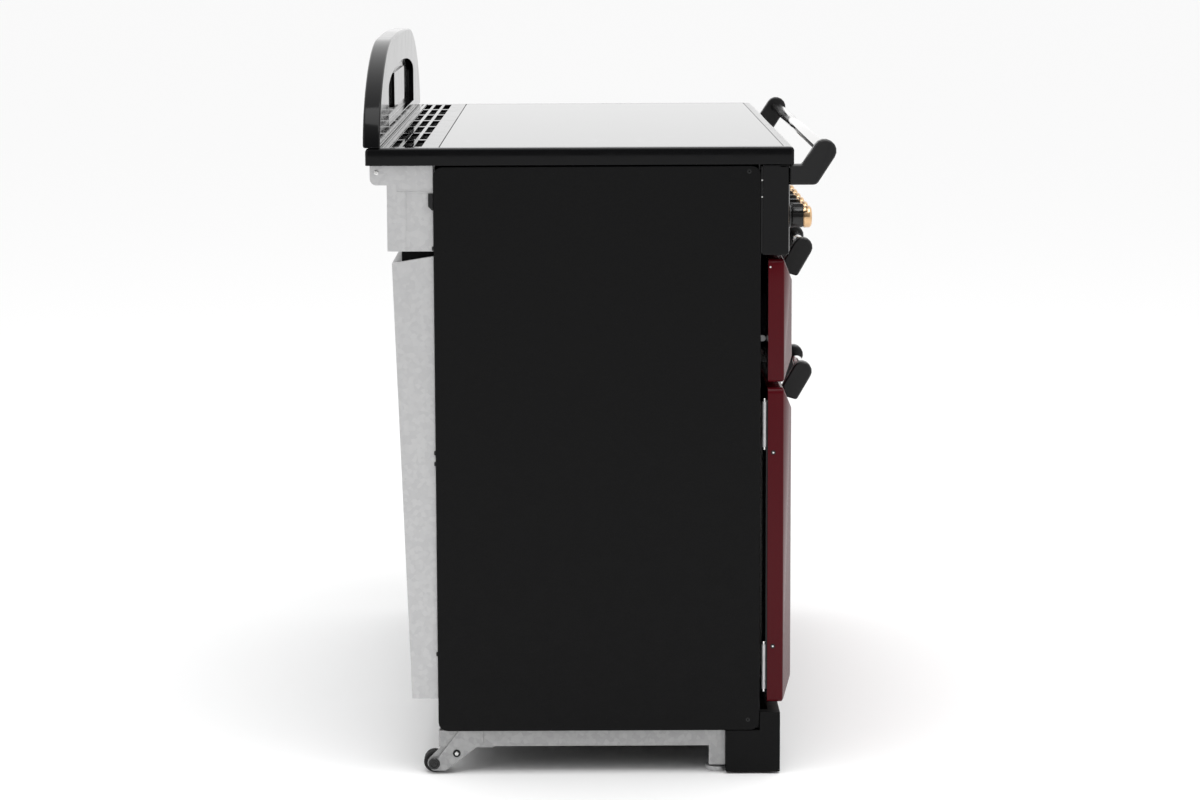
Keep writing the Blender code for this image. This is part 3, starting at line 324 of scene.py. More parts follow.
hob_glass = finish("hob_glass", GLASS_BLACK, 0.03, specular=0.4)
glass_nodes, glass_links = hob_glass.node_tree.nodes, hob_glass.node_tree.links
ring_sum = None
for zone_x, zone_y, zone_radius in ZONES:
    place = glass_nodes.new("ShaderNodeTexCoord")
    distance = glass_nodes.new("ShaderNodeVectorMath")
    distance.operation = "DISTANCE"
    distance.inputs[1].default_value = (zone_x, glass_middle.y + zone_y, glass_high.z)
    ring = glass_nodes.new("ShaderNodeMath")
    ring.operation = "COMPARE"
    ring.inputs[1].default_value = zone_radius * MM
    ring.inputs[2].default_value = ZONE_LINE / 2
    glass_links.new(place.outputs["Object"], distance.inputs[0])
    glass_links.new(distance.outputs["Value"], ring.inputs[0])
    if ring_sum is not None:
        total = glass_nodes.new("ShaderNodeMath")
        glass_links.new(ring_sum, total.inputs[0])
        glass_links.new(ring.outputs[0], total.inputs[1])
        ring_sum = total.outputs[0]
    else:
        ring_sum = ring.outputs[0]
tint(hob_glass, ring_sum, GLASS_BLACK, ZONE_GREY, 0.0, 1.0)
print("glass with", len(ZONES), "printed zones")

# %% [markdown]
# ## Tools for shaping
# These few helpers are used all through: a box at its place, a choice of faces or edges by
# position, a turned piece, and a last step that gives a piece its finish and the body it moves with.
# %% Helpers for shaping
MERGE = 0.01 * MM


def deselect():
    """Leaves no object selected."""
    bpy.ops.object.select_all(action="DESELECT")


def fresh(name):
    """Names the primitive that was just added and moves its place into its mesh."""
    piece = bpy.context.object
    piece.name = piece.data.name = name
    bpy.ops.object.transform_apply(location=True, rotation=True, scale=True)
    return piece


def box(name, low, high):
    """A block between two opposite corners."""
    deselect()
    low, high = Vector(low), Vector(high)
    bpy.ops.mesh.primitive_cube_add(size=1, location=(low + high) / 2, scale=high - low)
    return fresh(name)


def pick(piece, kind, test):
    """Opens a piece in edit mode with the faces or edges that pass the test selected."""
    deselect()
    piece.select_set(True)
    bpy.context.view_layer.objects.active = piece
    bpy.ops.object.mode_set(mode="EDIT")
    bpy.ops.mesh.select_mode(type=kind)
    bpy.ops.mesh.select_all(action="DESELECT")
    mesh = bmesh.from_edit_mesh(piece.data)
    for part in mesh.faces if kind == "FACE" else mesh.edges:
        if test(part):
            part.select_set(True)
    mesh.select_flush_mode()
    bmesh.update_edit_mesh(piece.data)


def close_edit():
    """Goes back from editing a mesh to handling whole objects."""
    bpy.ops.object.mode_set(mode="OBJECT")


def middle(edge):
    """The point half way along an edge."""
    return (edge.verts[0].co + edge.verts[1].co) / 2


def runs_along(edge, axis):
    """True if an edge runs along axis 0, 1 or 2."""
    run = edge.verts[1].co - edge.verts[0].co
    return abs(run[axis]) > 0.99 * run.length


def soften(piece, width, segments=2, limit=30, smooth=40):
    """Rounds every edge sharper than the limit, then shades it so that large faces stay flat."""
    deselect()
    piece.select_set(True)
    bpy.context.view_layer.objects.active = piece
    if width:
        bevel = piece.modifiers.new("edges", "BEVEL")
        bevel.width = width
        bevel.segments = segments
        bevel.limit_method = "ANGLE"
        bevel.angle_limit = radians(limit)
        bpy.ops.object.modifier_apply(modifier="edges")
    bpy.ops.object.shade_smooth_by_angle(angle=radians(smooth))
    even = piece.modifiers.new("even", "WEIGHTED_NORMAL")
    even.keep_sharp = True
    bpy.ops.object.modifier_apply(modifier="even")
    return piece


def turned(name, place, along, steps, sides=48):
    """A round piece, as on a lathe: a disc is pulled along its axis and resized at each (radius, level)."""
    deselect()
    place, along = Vector(place), Vector(along)
    radius, level = steps[0]
    facing = along.to_track_quat("Z", "Y").to_euler()
    where = place + along * level
    bpy.ops.mesh.primitive_circle_add(
        vertices=sides, radius=radius, fill_type="NGON", location=where, rotation=facing
    )
    piece = fresh(name)
    pick(piece, "FACE", lambda face: True)
    for (last, before), (radius, level) in zip(steps, steps[1:]):
        bpy.ops.mesh.extrude_region_move(TRANSFORM_OT_translate={"value": along * (level - before)})
        share = radius / last
        bpy.ops.transform.resize(value=(share, share, share), center_override=place + along * level)
    bpy.ops.mesh.select_all(action="SELECT")
    bpy.ops.mesh.normals_make_consistent(inside=False)
    close_edit()
    bpy.ops.object.shade_smooth_by_angle(angle=radians(35))
    return piece


def joined(name, parts):
    """Several pieces made one."""
    deselect()
    for part in parts:
        part.select_set(True)
    bpy.context.view_layer.objects.active = parts[0]
    bpy.ops.object.join()
    parts[0].name = parts[0].data.name = name
    return parts[0]


def copied(piece, name, move):
    """A copy with its own mesh, moved."""
    twin = bpy.data.objects.new(name, piece.data.copy())
    bpy.context.scene.collection.objects.link(twin)
    deselect()
    twin.select_set(True)
    bpy.context.view_layer.objects.active = twin
    twin.location = move
    bpy.ops.object.transform_apply(location=True, rotation=True, scale=True)
    return twin


def dress(piece, material, body, stands_for=()):
    """Gives a piece its material, the body it moves with, and the frame parts it stands for."""
    piece.data.materials.clear()
    piece.data.materials.append(material)
    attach(piece, body)
    if stands_for:
        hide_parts(*stands_for)
    return piece


print("shaping helpers ready")

# %% [markdown]
# ## Rounding the frame's own parts
# Pressed steel and cast metal never have a knife edge, and a thin bright line along each edge is what
# makes a render look real. Many frame parts have the right shape already, so each is copied, its loose
# triangles are merged back into faces, and a small bevel rounds the sharp edges.
# %% A rounded copy of a frame part


def rounded(node, material, width, segments=2, limit=35, smooth=45):
    """A finished copy of a frame part, which stands for it."""
    shell = bpy.data.objects.new(node + "_shell", frame["nodes"][node].data.copy())
    bpy.context.scene.collection.objects.link(shell)
    pick(shell, "FACE", lambda face: True)
    bpy.ops.mesh.customdata_custom_splitnormals_clear()
    bpy.ops.mesh.remove_doubles(threshold=MERGE)
    bpy.ops.mesh.dissolve_limited(angle_limit=radians(0.5))
    close_edit()
    soften(shell, width, segments, limit, smooth)
    return dress(shell, material, BODY_OF[node], [node])


# %% Round the hob, fascia and panels
rounded("hob_frame", black_enamel, 0.7 * MM, smooth=50)
rounded("back_guard", black_enamel, 0.9 * MM, segments=3, smooth=50)
rounded("control_panel", black_enamel, 0.6 * MM, smooth=50)
rounded("vent_grille", black_enamel, 0.5 * MM)
rounded("hob_glass", hob_glass, 0.3 * MM)
for side in ("left", "right"):
    rounded("side_panel_" + side, textured_black, 1.2 * MM, segments=3, smooth=50)
rounded("plinth", textured_black, 1.2 * MM)
print("hob, fascia, guard, panels and plinth rounded")

# %% Round the steel sheet and the castings
# How far back from the hob front the hinge is painted black as the shade of the door gap.
SHADED_STRIP_DEPTH = 38.3 * MM
# The base frame and roller arms take the darker painted-shade copy of the galvanised finish.
rounded("base_frame", shaded_zinc, 0.4 * MM)
for node, width in {"back_panel": 0.3, "rear_cover": 0.5, "rear_duct": 0.5, "drawer_box": 0.3}.items():
    rounded(node, galvanised, width * MM)
for side in ("left", "right"):
    rounded("roller_arm_" + side, shaded_zinc, 0.4 * MM)
    rounded("grill_hinge_" + side, galvanised, 0.3 * MM)
    rounded("levelling_foot_" + side, galvanised, 0.3 * MM)
    hinge = rounded(side + "_oven_door_hinge", galvanised, 0.3 * MM)
    # Painted shade: the hinge's front strip, in the gap beside the door, gets the black bracket finish to
    # stand for the shade in that gap.
    hinge.data.materials.append(satin_black)
    for face in hinge.data.polygons:
        face.material_index = int(face.center.y < at(SHADED_STRIP_DEPTH))
    rounded("rail_bracket_" + side, satin_black, 0.8 * MM, segments=3)
    for door in ("grill_door", "left_oven_door", "right_oven_door", "drawer"):
        rounded(door + "_handle_" + side, satin_black, 0.8 * MM, segments=3)
print("galvanised sheet and brackets rounded")

# %% Round the enamelled insides
rounded("front_frame", oven_enamel, 0.5 * MM)
rounded("grill_pan", oven_enamel, 0.4 * MM)
for node in ("grill_cavity", "left_oven_cavity", "right_oven_cavity"):
    rounded(node, oven_enamel, 0)
for node in ("grill_door_liner", "left_oven_door_liner", "right_oven_door_liner"):
    rounded(node, oven_enamel, 0.8 * MM, limit=20)
for side in ("left", "right"):
    rounded(side + "_oven_shelf", chrome, 0.6 * MM)
print("ovens, pan and shelves rounded")

# %% [markdown]
# ## Door fronts
# Each front is one pressing: a flat face, a sloping border and a straight edge. It starts as a box as
# deep as the straight edge. The face is inset and pushed forward to make the border, the corners and
# creases are rounded, and the open back gets its sheet thickness.
# %% Press the door fronts
BORDER_RUN = 34 * MM
BORDER_DEEP = 14 * MM
FRONT_CORNER = 8 * MM
FRONT_SHEET = 1.5 * MM
NEAR = 0.05 * MM


def pressed_front(node):
    """A door or drawer front with a sloping border and soft creases."""
    low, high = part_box(node)
    rim_y = low.y + BORDER_DEEP
    front = box(node + "_pressing", (low.x, rim_y, low.z), high)
    pick(front, "FACE", lambda face: face.normal.y < -0.9)
    bpy.ops.mesh.inset(thickness=BORDER_RUN, depth=BORDER_DEEP)
    close_edit()
    pick(front, "EDGE", lambda edge: runs_along(edge, 1))
    bpy.ops.mesh.bevel(offset=FRONT_CORNER, segments=6, affect="EDGES")
    close_edit()
    pick(front, "EDGE", lambda edge: all(abs(v.co.y - low.y) < NEAR for v in edge.verts))
    bpy.ops.mesh.bevel(offset=2.2 * MM, segments=4, affect="EDGES")
    close_edit()
    pick(front, "EDGE", lambda edge: all(abs(v.co.y - rim_y) < NEAR for v in edge.verts))
    bpy.ops.mesh.bevel(offset=1.4 * MM, segments=3, affect="EDGES")
    close_edit()
    pick(front, "FACE", lambda face: face.normal.y > 0.9)
    bpy.ops.mesh.delete(type="FACE")
    close_edit()
    wall = front.modifiers.new("sheet", "SOLIDIFY")
    wall.thickness = FRONT_SHEET
    wall.offset = -1
    bpy.ops.object.modifier_apply(modifier="sheet")
    bpy.ops.object.shade_smooth_by_angle(angle=radians(40))
    return dress(front, cranberry, BODY_OF[node], [node])


for node in ("grill_door_panel", "left_oven_door_panel", "right_oven_door_panel", "drawer_front"):
    pressed = pressed_front(node)
    print(pressed.name, len(pressed.data.polygons), "faces")

# %% [markdown]
# ## Chrome bars
# The rail and the door handles are chromed tube between two castings. Each is turned along its own
# length, with a rounded shoulder where it meets its bracket.
# %% Turn the rail and the handle bars
SHOULDER = 1 * MM


def chrome_bar(node):
    """A plated tube as long and as thick as its node, with rounded shoulders."""
    low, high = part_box(node)
    radius = (high.z - low.z) / 2
    length = high.x - low.x
    steps = [(radius - SHOULDER, 0), (radius - SHOULDER * 0.3, SHOULDER * 0.3), (radius, SHOULDER)]
    steps += [(r, length - level) for r, level in reversed(steps)]
    start = (low.x, (low.y + high.y) / 2, (low.z + high.z) / 2)
    return dress(turned(node + "_tube", start, (1, 0, 0), steps, 64), chrome, BODY_OF[node], [node])


chrome_bar("rail_bar")
for door in ("grill_door", "left_oven_door", "right_oven_door", "drawer"):
    chrome_bar(door + "_handle_bar")
print("rail and 4 handle bars turned")

# %% [markdown]
# ## Control knobs
# A knob is a black grip with a solid brass cap, on a black bezel, and a ridge on the grip shows where it
# stands. The round parts are turned at the first knob and copied along the fascia.
# %% Turn one knob and copy it
KNOBS = 8
BEZEL_RADIUS = 19 * MM
GRIP_RADIUS = 15.6 * MM
GRIP_END = 22.5 * MM
POINTER_HALF = 1.7 * MM
first_low, first_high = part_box("knob_1")
CAP_END = first_high.y - first_low.y
knob_face = first_high.y
knob_height = (first_low.z + first_high.z) / 2
first_x = (first_low.x + first_high.x) / 2
knob_place = (first_x, knob_face, knob_height)
outward = (0, -1, 0)

bezel = [(BEZEL_RADIUS, 0), (BEZEL_RADIUS, 1.6 * MM), (BEZEL_RADIUS - 0.6 * MM, 2.4 * MM)]
bezel += [(BEZEL_RADIUS - 1.9 * MM, 2.9 * MM), (BEZEL_RADIUS - 2.6 * MM, 4 * MM), (8 * MM, 4 * MM)]
grip = [(GRIP_RADIUS - 1 * MM, 3.6 * MM), (GRIP_RADIUS - 1 * MM, 5 * MM), (GRIP_RADIUS - 0.2 * MM, 6 * MM)]
grip += [(GRIP_RADIUS, 7 * MM), (GRIP_RADIUS, GRIP_END - 1 * MM), (GRIP_RADIUS - 0.9 * MM, GRIP_END)]
cap = [(GRIP_RADIUS - 1.6 * MM, GRIP_END - 0.5 * MM), (GRIP_RADIUS - 1.6 * MM, GRIP_END + 0.6 * MM)]
cap += [(GRIP_RADIUS + 0.2 * MM, GRIP_END + 1 * MM), (GRIP_RADIUS + 0.2 * MM, CAP_END - 3.4 * MM)]
cap += [(GRIP_RADIUS - 0.4 * MM, CAP_END - 2.2 * MM), (GRIP_RADIUS - 2.4 * MM, CAP_END - 0.6 * MM)]
cap += [(GRIP_RADIUS - 4 * MM, CAP_END), (GRIP_RADIUS - 5 * MM, CAP_END - 0.5 * MM)]
cap.append((2 * MM, CAP_END - 0.7 * MM))
bezel_model = turned("bezel_model", knob_place, outward, bezel, 64)
grip_model = turned("grip_model", knob_place, outward, grip, 64)
cap_model = turned("cap_model", knob_place, outward, cap, 64)
tip_low = (first_x - POINTER_HALF, knob_face - GRIP_END - 0.4 * MM, knob_height + GRIP_RADIUS - 2 * MM)
tip_high = (first_x + POINTER_HALF, knob_face - 6 * MM, knob_height + GRIP_RADIUS + 3.2 * MM)
pointer_model = box("pointer_model", tip_low, tip_high)
pick(pointer_model, "EDGE", lambda edge: runs_along(edge, 0) and middle(edge).z > knob_height + GRIP_RADIUS)
bpy.ops.mesh.bevel(offset=3 * MM, segments=3, affect="EDGES")
close_edit()
soften(pointer_model, 0.4 * MM)
KNOB_PARTS = [("bezel", bezel_model, knob_black), ("grip", grip_model, knob_black), ("cap", cap_model, brass)]
KNOB_PARTS.append(("pointer", pointer_model, knob_black))
print("one knob turned from", len(KNOB_PARTS), "parts")

# %% Copy the knob to its eight places
for number in range(1, KNOBS + 1):
    node = "knob_%d" % number
    low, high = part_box(node)
    move = ((low.x + high.x) / 2 - first_x, 0, 0)
    for part, model, material in KNOB_PARTS:
        twin = copied(model, "%s_%s" % (node, part), move)
        dress(twin, material, node, [node] if part == "grip" else [])
for _, model, _ in KNOB_PARTS:
    bpy.data.objects.remove(model)
print(KNOBS, "knobs placed")

# %% [markdown]
# ## Marks and clock on the fascia
# Round each knob is a ring of short printed ticks, and between the two groups of knobs there is a small
# clock: a brass frame round dark glass, with three buttons. The marks carry no lettering.
# %% Print the ticks round one knob and copy them
TICKS = 9
TICK_SWEEP = radians(270)
TICK_RADIUS = 24.5 * MM
TICK_WIDE = 0.7 * MM
TICK_PROUD = 0.15 * MM
TICK_LONG = 4.2 * MM
TICK_SHORT = 2.6 * MM
TICKS_PER_LONG = 4
fascia_low, fascia_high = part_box("control_panel")
fascia_y = fascia_low.y
ticks = []
for step in range(TICKS):
    angle = TICK_SWEEP * (step / (TICKS - 1) - 0.5)
    long = TICK_LONG if step % TICKS_PER_LONG == 0 else TICK_SHORT
    low = (first_x - TICK_WIDE / 2, fascia_y - TICK_PROUD, knob_height + TICK_RADIUS - long / 2)
    high = (first_x + TICK_WIDE / 2, fascia_y + TICK_PROUD, knob_height + TICK_RADIUS + long / 2)
    tick = box("tick", low, high)
    pick(tick, "FACE", lambda face: True)
    bpy.ops.transform.rotate(value=-angle, orient_axis="Y", center_override=knob_place)
    close_edit()
    ticks.append(tick)
dial = joined("dial_model", ticks)
dials = []
for number in range(1, KNOBS + 1):
    low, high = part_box("knob_%d" % number)
    dials.append(copied(dial, "dial", ((low.x + high.x) / 2 - first_x, 0, 0)))
bpy.data.objects.remove(dial)
dress(joined("dial_ticks", dials), pale_print, "cooker")
print(KNOBS * TICKS, "ticks printed")

# %% Fit the clock
CLOCK_X = 140 * MM
CLOCK_HALF = 62 * MM
CLOCK_TALL = 44 * MM
display = finish("display_glass", (0.004, 0.006, 0.007), 0.05, specular=0.5)
haze = texture(display, "ShaderNodeTexNoise", 40)
vary(display, haze.outputs["Fac"], "Roughness", 0.03, 0.08)


def clock_box(name, half, tall, front, back):
    """A block centred on the clock, between two distances in front of the fascia's face."""
    centre_z = knob_height
    low = (CLOCK_X - half, fascia_y - front, centre_z - tall / 2)
    return box(name, low, (CLOCK_X + half, fascia_y - back, centre_z + tall / 2))


bezel_frame = clock_box("clock_frame", CLOCK_HALF, CLOCK_TALL, 2.6 * MM, -0.5 * MM)
pick(bezel_frame, "EDGE", lambda edge: runs_along(edge, 1))
bpy.ops.mesh.bevel(offset=9 * MM, segments=6, affect="EDGES")
close_edit()
pick(bezel_frame, "FACE", lambda face: face.normal.y < -0.9)
bpy.ops.mesh.inset(thickness=3.2 * MM, depth=0)
bpy.ops.mesh.inset(thickness=0.6 * MM, depth=-1.4 * MM)
close_edit()
soften(bezel_frame, 0.4 * MM, 3)
dress(bezel_frame, brass, "cooker")
glass = clock_box("clock_glass", CLOCK_HALF - 4 * MM, CLOCK_TALL - 8 * MM, 1.6 * MM, 0.9 * MM)
pick(glass, "EDGE", lambda edge: runs_along(edge, 1))
bpy.ops.mesh.bevel(offset=5 * MM, segments=5, affect="EDGES")
close_edit()
dress(soften(glass, 0.2 * MM), display, "cooker")
for step in (-1, 0, 1):
    spot = (CLOCK_X + CLOCK_HALF + 20 * MM, fascia_y, knob_height + step * 13 * MM)
    stem = [(4 * MM, 0), (4 * MM, 0.6 * MM), (3.2 * MM, 0.8 * MM), (3.2 * MM, 2.2 * MM), (2.6 * MM, 2.6 * MM)]
    dress(turned("clock_button_%d" % (step + 2), spot, outward, stem, 32), brass, "cooker")
print("clock and buttons fitted")

# %% [markdown]
# ## Screws
# Screws show how a machine comes apart, and they give the eye a sense of size. A head is turned with a
# domed top and a round socket. Black ones hold the side panels, bright ones the hinges and the back.
# %% A screw head and its places


def screw(name, place, along, radius, tall, material, body):
    """A pan head with a socket, on a surface at a place, facing along a direction."""
    steps = [(radius, 0), (radius, 0.45 * tall), (0.86 * radius, 0.85 * tall), (0.6 * radius, tall)]
    steps += [(0.44 * radius, tall), (0.40 * radius, 0.45 * tall)]
    return dress(turned(name, place, along, steps, 24), material, body)


panel_low, panel_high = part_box("side_panel_left")
door_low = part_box("left_oven_door_panel")[0]
grill_low, grill_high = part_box("grill_door_panel")
duct_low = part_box("rear_duct")[0]
PANEL_SCREW = 3.4 * MM
EDGE_SCREW_HEIGHTS = (179 * MM, 459 * MM, 475 * MM, 771 * MM)
FLANGE_SCREW_HEIGHTS = (843.5 * MM, 867.5 * MM)
DOOR_SCREW_HEIGHTS = (189 * MM, 474 * MM)
RISE_TO_RIGHT_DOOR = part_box("right_oven_door_panel")[0].z - door_low.z
for sign, side in ((-1, "left"), (1, "right")):
    out = (sign, 0, 0)
    face_x = sign * abs(panel_low.x)
    for number, height in enumerate((panel_low.z + 16 * MM, panel_high.z - 8 * MM), 1):
        spot = (face_x - sign * 0.6 * MM, panel_low.y + 17 * MM, height)
        screw("%s_panel_screw_%d" % (side, number), spot, out, PANEL_SCREW, 0.9 * MM, satin_black, "cooker")
    for number, height in enumerate(EDGE_SCREW_HEIGHTS, 1):
        spot = (sign * (abs(panel_low.x) - 6 * MM), panel_high.y - 0.2 * MM, height)
        name = "%s_edge_screw_%d" % (side, number)
        screw(name, spot, (0, 1, 0), PANEL_SCREW, 2.6 * MM, satin_black, "cooker")
    for number, height in enumerate(FLANGE_SCREW_HEIGHTS, 1):
        spot = (sign * (abs(panel_low.x) - 1.2 * MM), at(45.6 * MM), height)
        screw("%s_flange_screw_%d" % (side, number), spot, out, 1.2 * MM, 0.8 * MM, zinc, "cooker")
    duct_spot = (sign * abs(duct_low.x), at(594.5 * MM), 880 * MM)
    screw(side + "_duct_screw", duct_spot, out, 3.6 * MM, 1.6 * MM, zinc, "cooker")
    rise = RISE_TO_RIGHT_DOOR if sign > 0 else 0
    for number, height in enumerate(DOOR_SCREW_HEIGHTS, 1):
        spot = (sign * abs(door_low.x), at(28 * MM), height + rise)
        body = side + "_oven_door"
        screw("%s_door_screw_%d" % (side, number), spot, out, 3.2 * MM, 0.7 * MM, satin_black, body)
        centre = (spot[0] + sign * 0.25 * MM, spot[1], spot[2])
        screw("%s_door_pin_%d" % (side, number), centre, out, 1.5 * MM, 0.5 * MM, zinc, body)
spot = (grill_low.x, at(33.2 * MM), grill_high.z - 11 * MM)
screw("grill_door_screw", spot, (-1, 0, 0), 1.5 * MM, 0.8 * MM, zinc, "grill_door")
print("screws fitted on both sides")

# %% [markdown]
# ## The gap between panel and fascia
# The fascia's end is closed by a folded flange that shows as a dark strip in the gap. Behind the panel, a
# black bracket and two folds in the duct's end break up the plain sheet.
# %% Fold the small brackets
HOOK_FOOT = 826 * MM
HOOK_TOP = 850 * MM
HOOK_REACH = 7 * MM


def is_hook_corner(edge):
    """The lower back edge of a hook, which is cut at a slant."""
    lowest = middle(edge).z < HOOK_FOOT + 4 * MM
    return runs_along(edge, 0) and lowest and middle(edge).y > panel_high.y + 4 * MM


for sign, side in ((-1, "left"), (1, "right")):
    outer = sign * (abs(panel_low.x) - 1.2 * MM)
    inner = outer - sign * 8 * MM
    low = (min(outer, inner), fascia_high.y + 0.1 * MM, fascia_low.z + 4 * MM)
    high = (max(outer, inner), panel_low.y - 0.2 * MM, fascia_high.z - 3 * MM)
    flange = box(side + "_fascia_flange", low, high)
    dress(soften(flange, 0.3 * MM), satin_black, "cooker")
    outer = sign * (abs(panel_low.x) - 1 * MM)
    inner = outer - sign * 9 * MM
    low = (min(outer, inner), panel_high.y + 0.3 * MM, HOOK_FOOT)
    hook = box(side + "_panel_hook", low, (max(outer, inner), panel_high.y + HOOK_REACH, HOOK_TOP))
    pick(hook, "EDGE", is_hook_corner)
    bpy.ops.mesh.bevel(offset=5.5 * MM, segments=1, affect="EDGES")
    close_edit()
    dress(soften(hook, 0.4 * MM), satin_black, "cooker")
    outer = sign * (abs(duct_low.x) + 1.1 * MM)
    inner = outer - sign * 1.6 * MM
    low = (min(outer, inner), panel_high.y + 6 * MM, 851.6 * MM)
    fold = box(side + "_duct_fold", low, (max(outer, inner), at(565 * MM), 853.2 * MM))
    dress(soften(fold, 0.4 * MM), galvanised, "cooker")
    outer = sign * (abs(duct_low.x) + 0.5 * MM)
    low = (min(outer, inner), at(552 * MM), duct_low.z + 1 * MM)
    bend = box(side + "_duct_bend", low, (max(outer, inner), at(553.4 * MM), 851 * MM))
    dress(soften(bend, 0.2 * MM), galvanised, "cooker")
gasket_low = (-abs(panel_low.x), fascia_y + 0.4 * MM, fascia_high.z - 4 * MM)
gasket = box("hob_gasket", gasket_low, (abs(panel_low.x), fascia_y + 14 * MM, fascia_high.z + 0.5 * MM))
dress(soften(gasket, 0.3 * MM), gasket_and_shade_black, "cooker")
print("flanges, hooks, folds and gasket made")

# %% [markdown]
# ## Under the vent and behind the covers
# The vent's slots open into the dark flue, so a black plate of painted shade closes the view just below them.
# Another black plate of painted shade fills the slot between the duct and the rear cover.
# %% Close the dark gaps
vent_low, vent_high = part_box("vent_grille")
cover_low, cover_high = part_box("rear_cover")
# Painted shade: a black plate below the vent slots stands for the dark inside of the flue.
baffle = box(
    "vent_baffle",
    (vent_low.x + 12 * MM, vent_low.y + 10 * MM, vent_low.z - 7 * MM),
    (vent_high.x - 12 * MM, vent_high.y - 10 * MM, vent_low.z - 5 * MM),
)
dress(soften(baffle, 0.4 * MM), gasket_and_shade_black, "cooker")
# Painted shade: a black plate fills the dark slot between the duct and the rear cover.
filler = box(
    "flue_filler",
    (cover_low.x + 8 * MM, cover_low.y + 1 * MM, cover_high.z - 22 * MM),
    (cover_high.x - 8 * MM, cover_low.y + 46 * MM, duct_low.z + 4 * MM),
)
dress(soften(filler, 0.5 * MM), gasket_and_shade_black, "cooker")
print("vent baffle and filler in place")

# %% [markdown]
# ## Rollers at the back
# Two rubber-tyred rollers let the cooker be wheeled out. A slanting cheek plate carries the axle; its
# free end is rounded about the axle, and a bolt ties it to the base.
# %% Make the tyres, cheeks and axle caps
roller_low, roller_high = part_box("roller_left")
ROLLER_RADIUS = (roller_high.z - roller_low.z) / 2
ROLLER_Y = (roller_low.y + roller_high.y) / 2
WIDE = roller_high.x - roller_low.x
CHEEK_X = abs(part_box("base_frame")[0].x)
CHEEK_THICK = 2.2 * MM
tyre = [(5 * MM, 2.5 * MM), (10 * MM, 2.5 * MM), (10.6 * MM, 0.4 * MM), (13.2 * MM, 0)]
tyre += [(14.8 * MM, 0.8 * MM), (ROLLER_RADIUS, 2.4 * MM), (ROLLER_RADIUS, 0.42 * WIDE)]
tyre += [(ROLLER_RADIUS - 0.7 * MM, 0.45 * WIDE), (ROLLER_RADIUS - 0.7 * MM, 0.55 * WIDE)]
tyre += [(ROLLER_RADIUS, 0.58 * WIDE), (ROLLER_RADIUS, WIDE - 2.4 * MM), (14.8 * MM, WIDE - 0.8 * MM)]
tyre += [(13.2 * MM, WIDE), (10.6 * MM, WIDE - 0.4 * MM)]
tyre += [(10 * MM, WIDE - 2.5 * MM), (5 * MM, WIDE - 2.5 * MM)]
for sign, side in ((-1, "left"), (1, "right")):
    node = "roller_" + side
    low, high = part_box(node)
    wheel = turned(node + "_tyre", (low.x, ROLLER_Y, ROLLER_RADIUS), (1, 0, 0), tyre, 64)
    dress(wheel, rubber, node, [node])
    inner = sign * (CHEEK_X + 0.2 * MM)
    outer = inner + sign * CHEEK_THICK
    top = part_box("base_frame")[1].z - 0.4 * MM
    low = (min(inner, outer), ROLLER_Y - 72 * MM, ROLLER_RADIUS - 10.5 * MM)
    cheek = box("roller_cheek_" + side, low, (max(inner, outer), ROLLER_Y + 10.5 * MM, top))
    for spot, facing in (((-36 * MM, top), (1, 0.75)), ((-23 * MM, 10 * MM), (-0.77, -1))):
        pick(cheek, "FACE", lambda face: True)
        co = (0, ROLLER_Y + spot[0], spot[1])
        bpy.ops.mesh.bisect(plane_co=co, plane_no=(0, *facing), use_fill=True, clear_outer=True)
        close_edit()
    pick(cheek, "EDGE", lambda edge: runs_along(edge, 0) and middle(edge).y > ROLLER_Y - 12 * MM)
    bpy.ops.mesh.bevel(offset=9 * MM, segments=5, affect="EDGES", clamp_overlap=True)
    close_edit()
    # The cheek takes the darker painted-shade copy of the galvanised finish.
    dress(soften(cheek, 0.3 * MM), shaded_zinc, "cooker")
    axle = (outer, ROLLER_Y, ROLLER_RADIUS)
    axle_cap = [(8.4 * MM, 0), (8.4 * MM, 1.6 * MM), (7.6 * MM, 2.6 * MM), (5.2 * MM, 2.9 * MM)]
    axle_cap += [(4.6 * MM, 1.6 * MM), (2.2 * MM, 1.5 * MM), (1.9 * MM, 2.4 * MM)]
    dress(turned("axle_cap_" + side, axle, (sign, 0, 0), axle_cap, 40), knob_black, "cooker")
    bolt = (outer, at(488 * MM), 31 * MM)
    ring = [(5.6 * MM, 0), (5.6 * MM, 0.8 * MM), (5 * MM, 1.2 * MM), (3.6 * MM, 1.2 * MM)]
    dress(turned("arm_washer_" + side, bolt, (sign, 0, 0), ring, 32), satin_black, "cooker")
    bolt = (outer + sign * 1.1 * MM, bolt[1], bolt[2])
    screw("arm_bolt_" + side, bolt, (sign, 0, 0), 3 * MM, 1.6 * MM, zinc, "cooker")
print("rollers, cheeks and caps made")

# %% [markdown]
# ## Hinge pins
# An oven door hangs on two barrels. A bright pin runs through each, with a domed end that shows above
# and below the barrel.
# %% Fit the hinge pins
PIN_RADIUS = 1.9 * MM
BARREL_TALL = 66 * MM
PIN_INSET = 2.9 * MM
PIN_SHOULDER = 3.8 * MM
PIN_PROUD = 4.6 * MM
for sign, side in ((-1, "left"), (1, "right")):
    node = side + "_oven_door_hinge"
    low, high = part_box(node)
    axis_x = low.x + PIN_INSET if sign < 0 else high.x - PIN_INSET
    axis_y = high.y - PIN_INSET
    for number, foot in enumerate((low.z, high.z - BARREL_TALL), 1):
        steps = [(PIN_RADIUS * 0.6, -PIN_PROUD), (PIN_RADIUS, -PIN_SHOULDER)]
        steps += [(PIN_RADIUS, BARREL_TALL + PIN_SHOULDER), (PIN_RADIUS * 0.6, BARREL_TALL + PIN_PROUD)]
        pin = turned("%s_hinge_pin_%d" % (side, number), (axis_x, axis_y, foot), (0, 0, 1), steps, 24)
        dress(pin, zinc, "cooker")
print("4 hinge pins fitted")

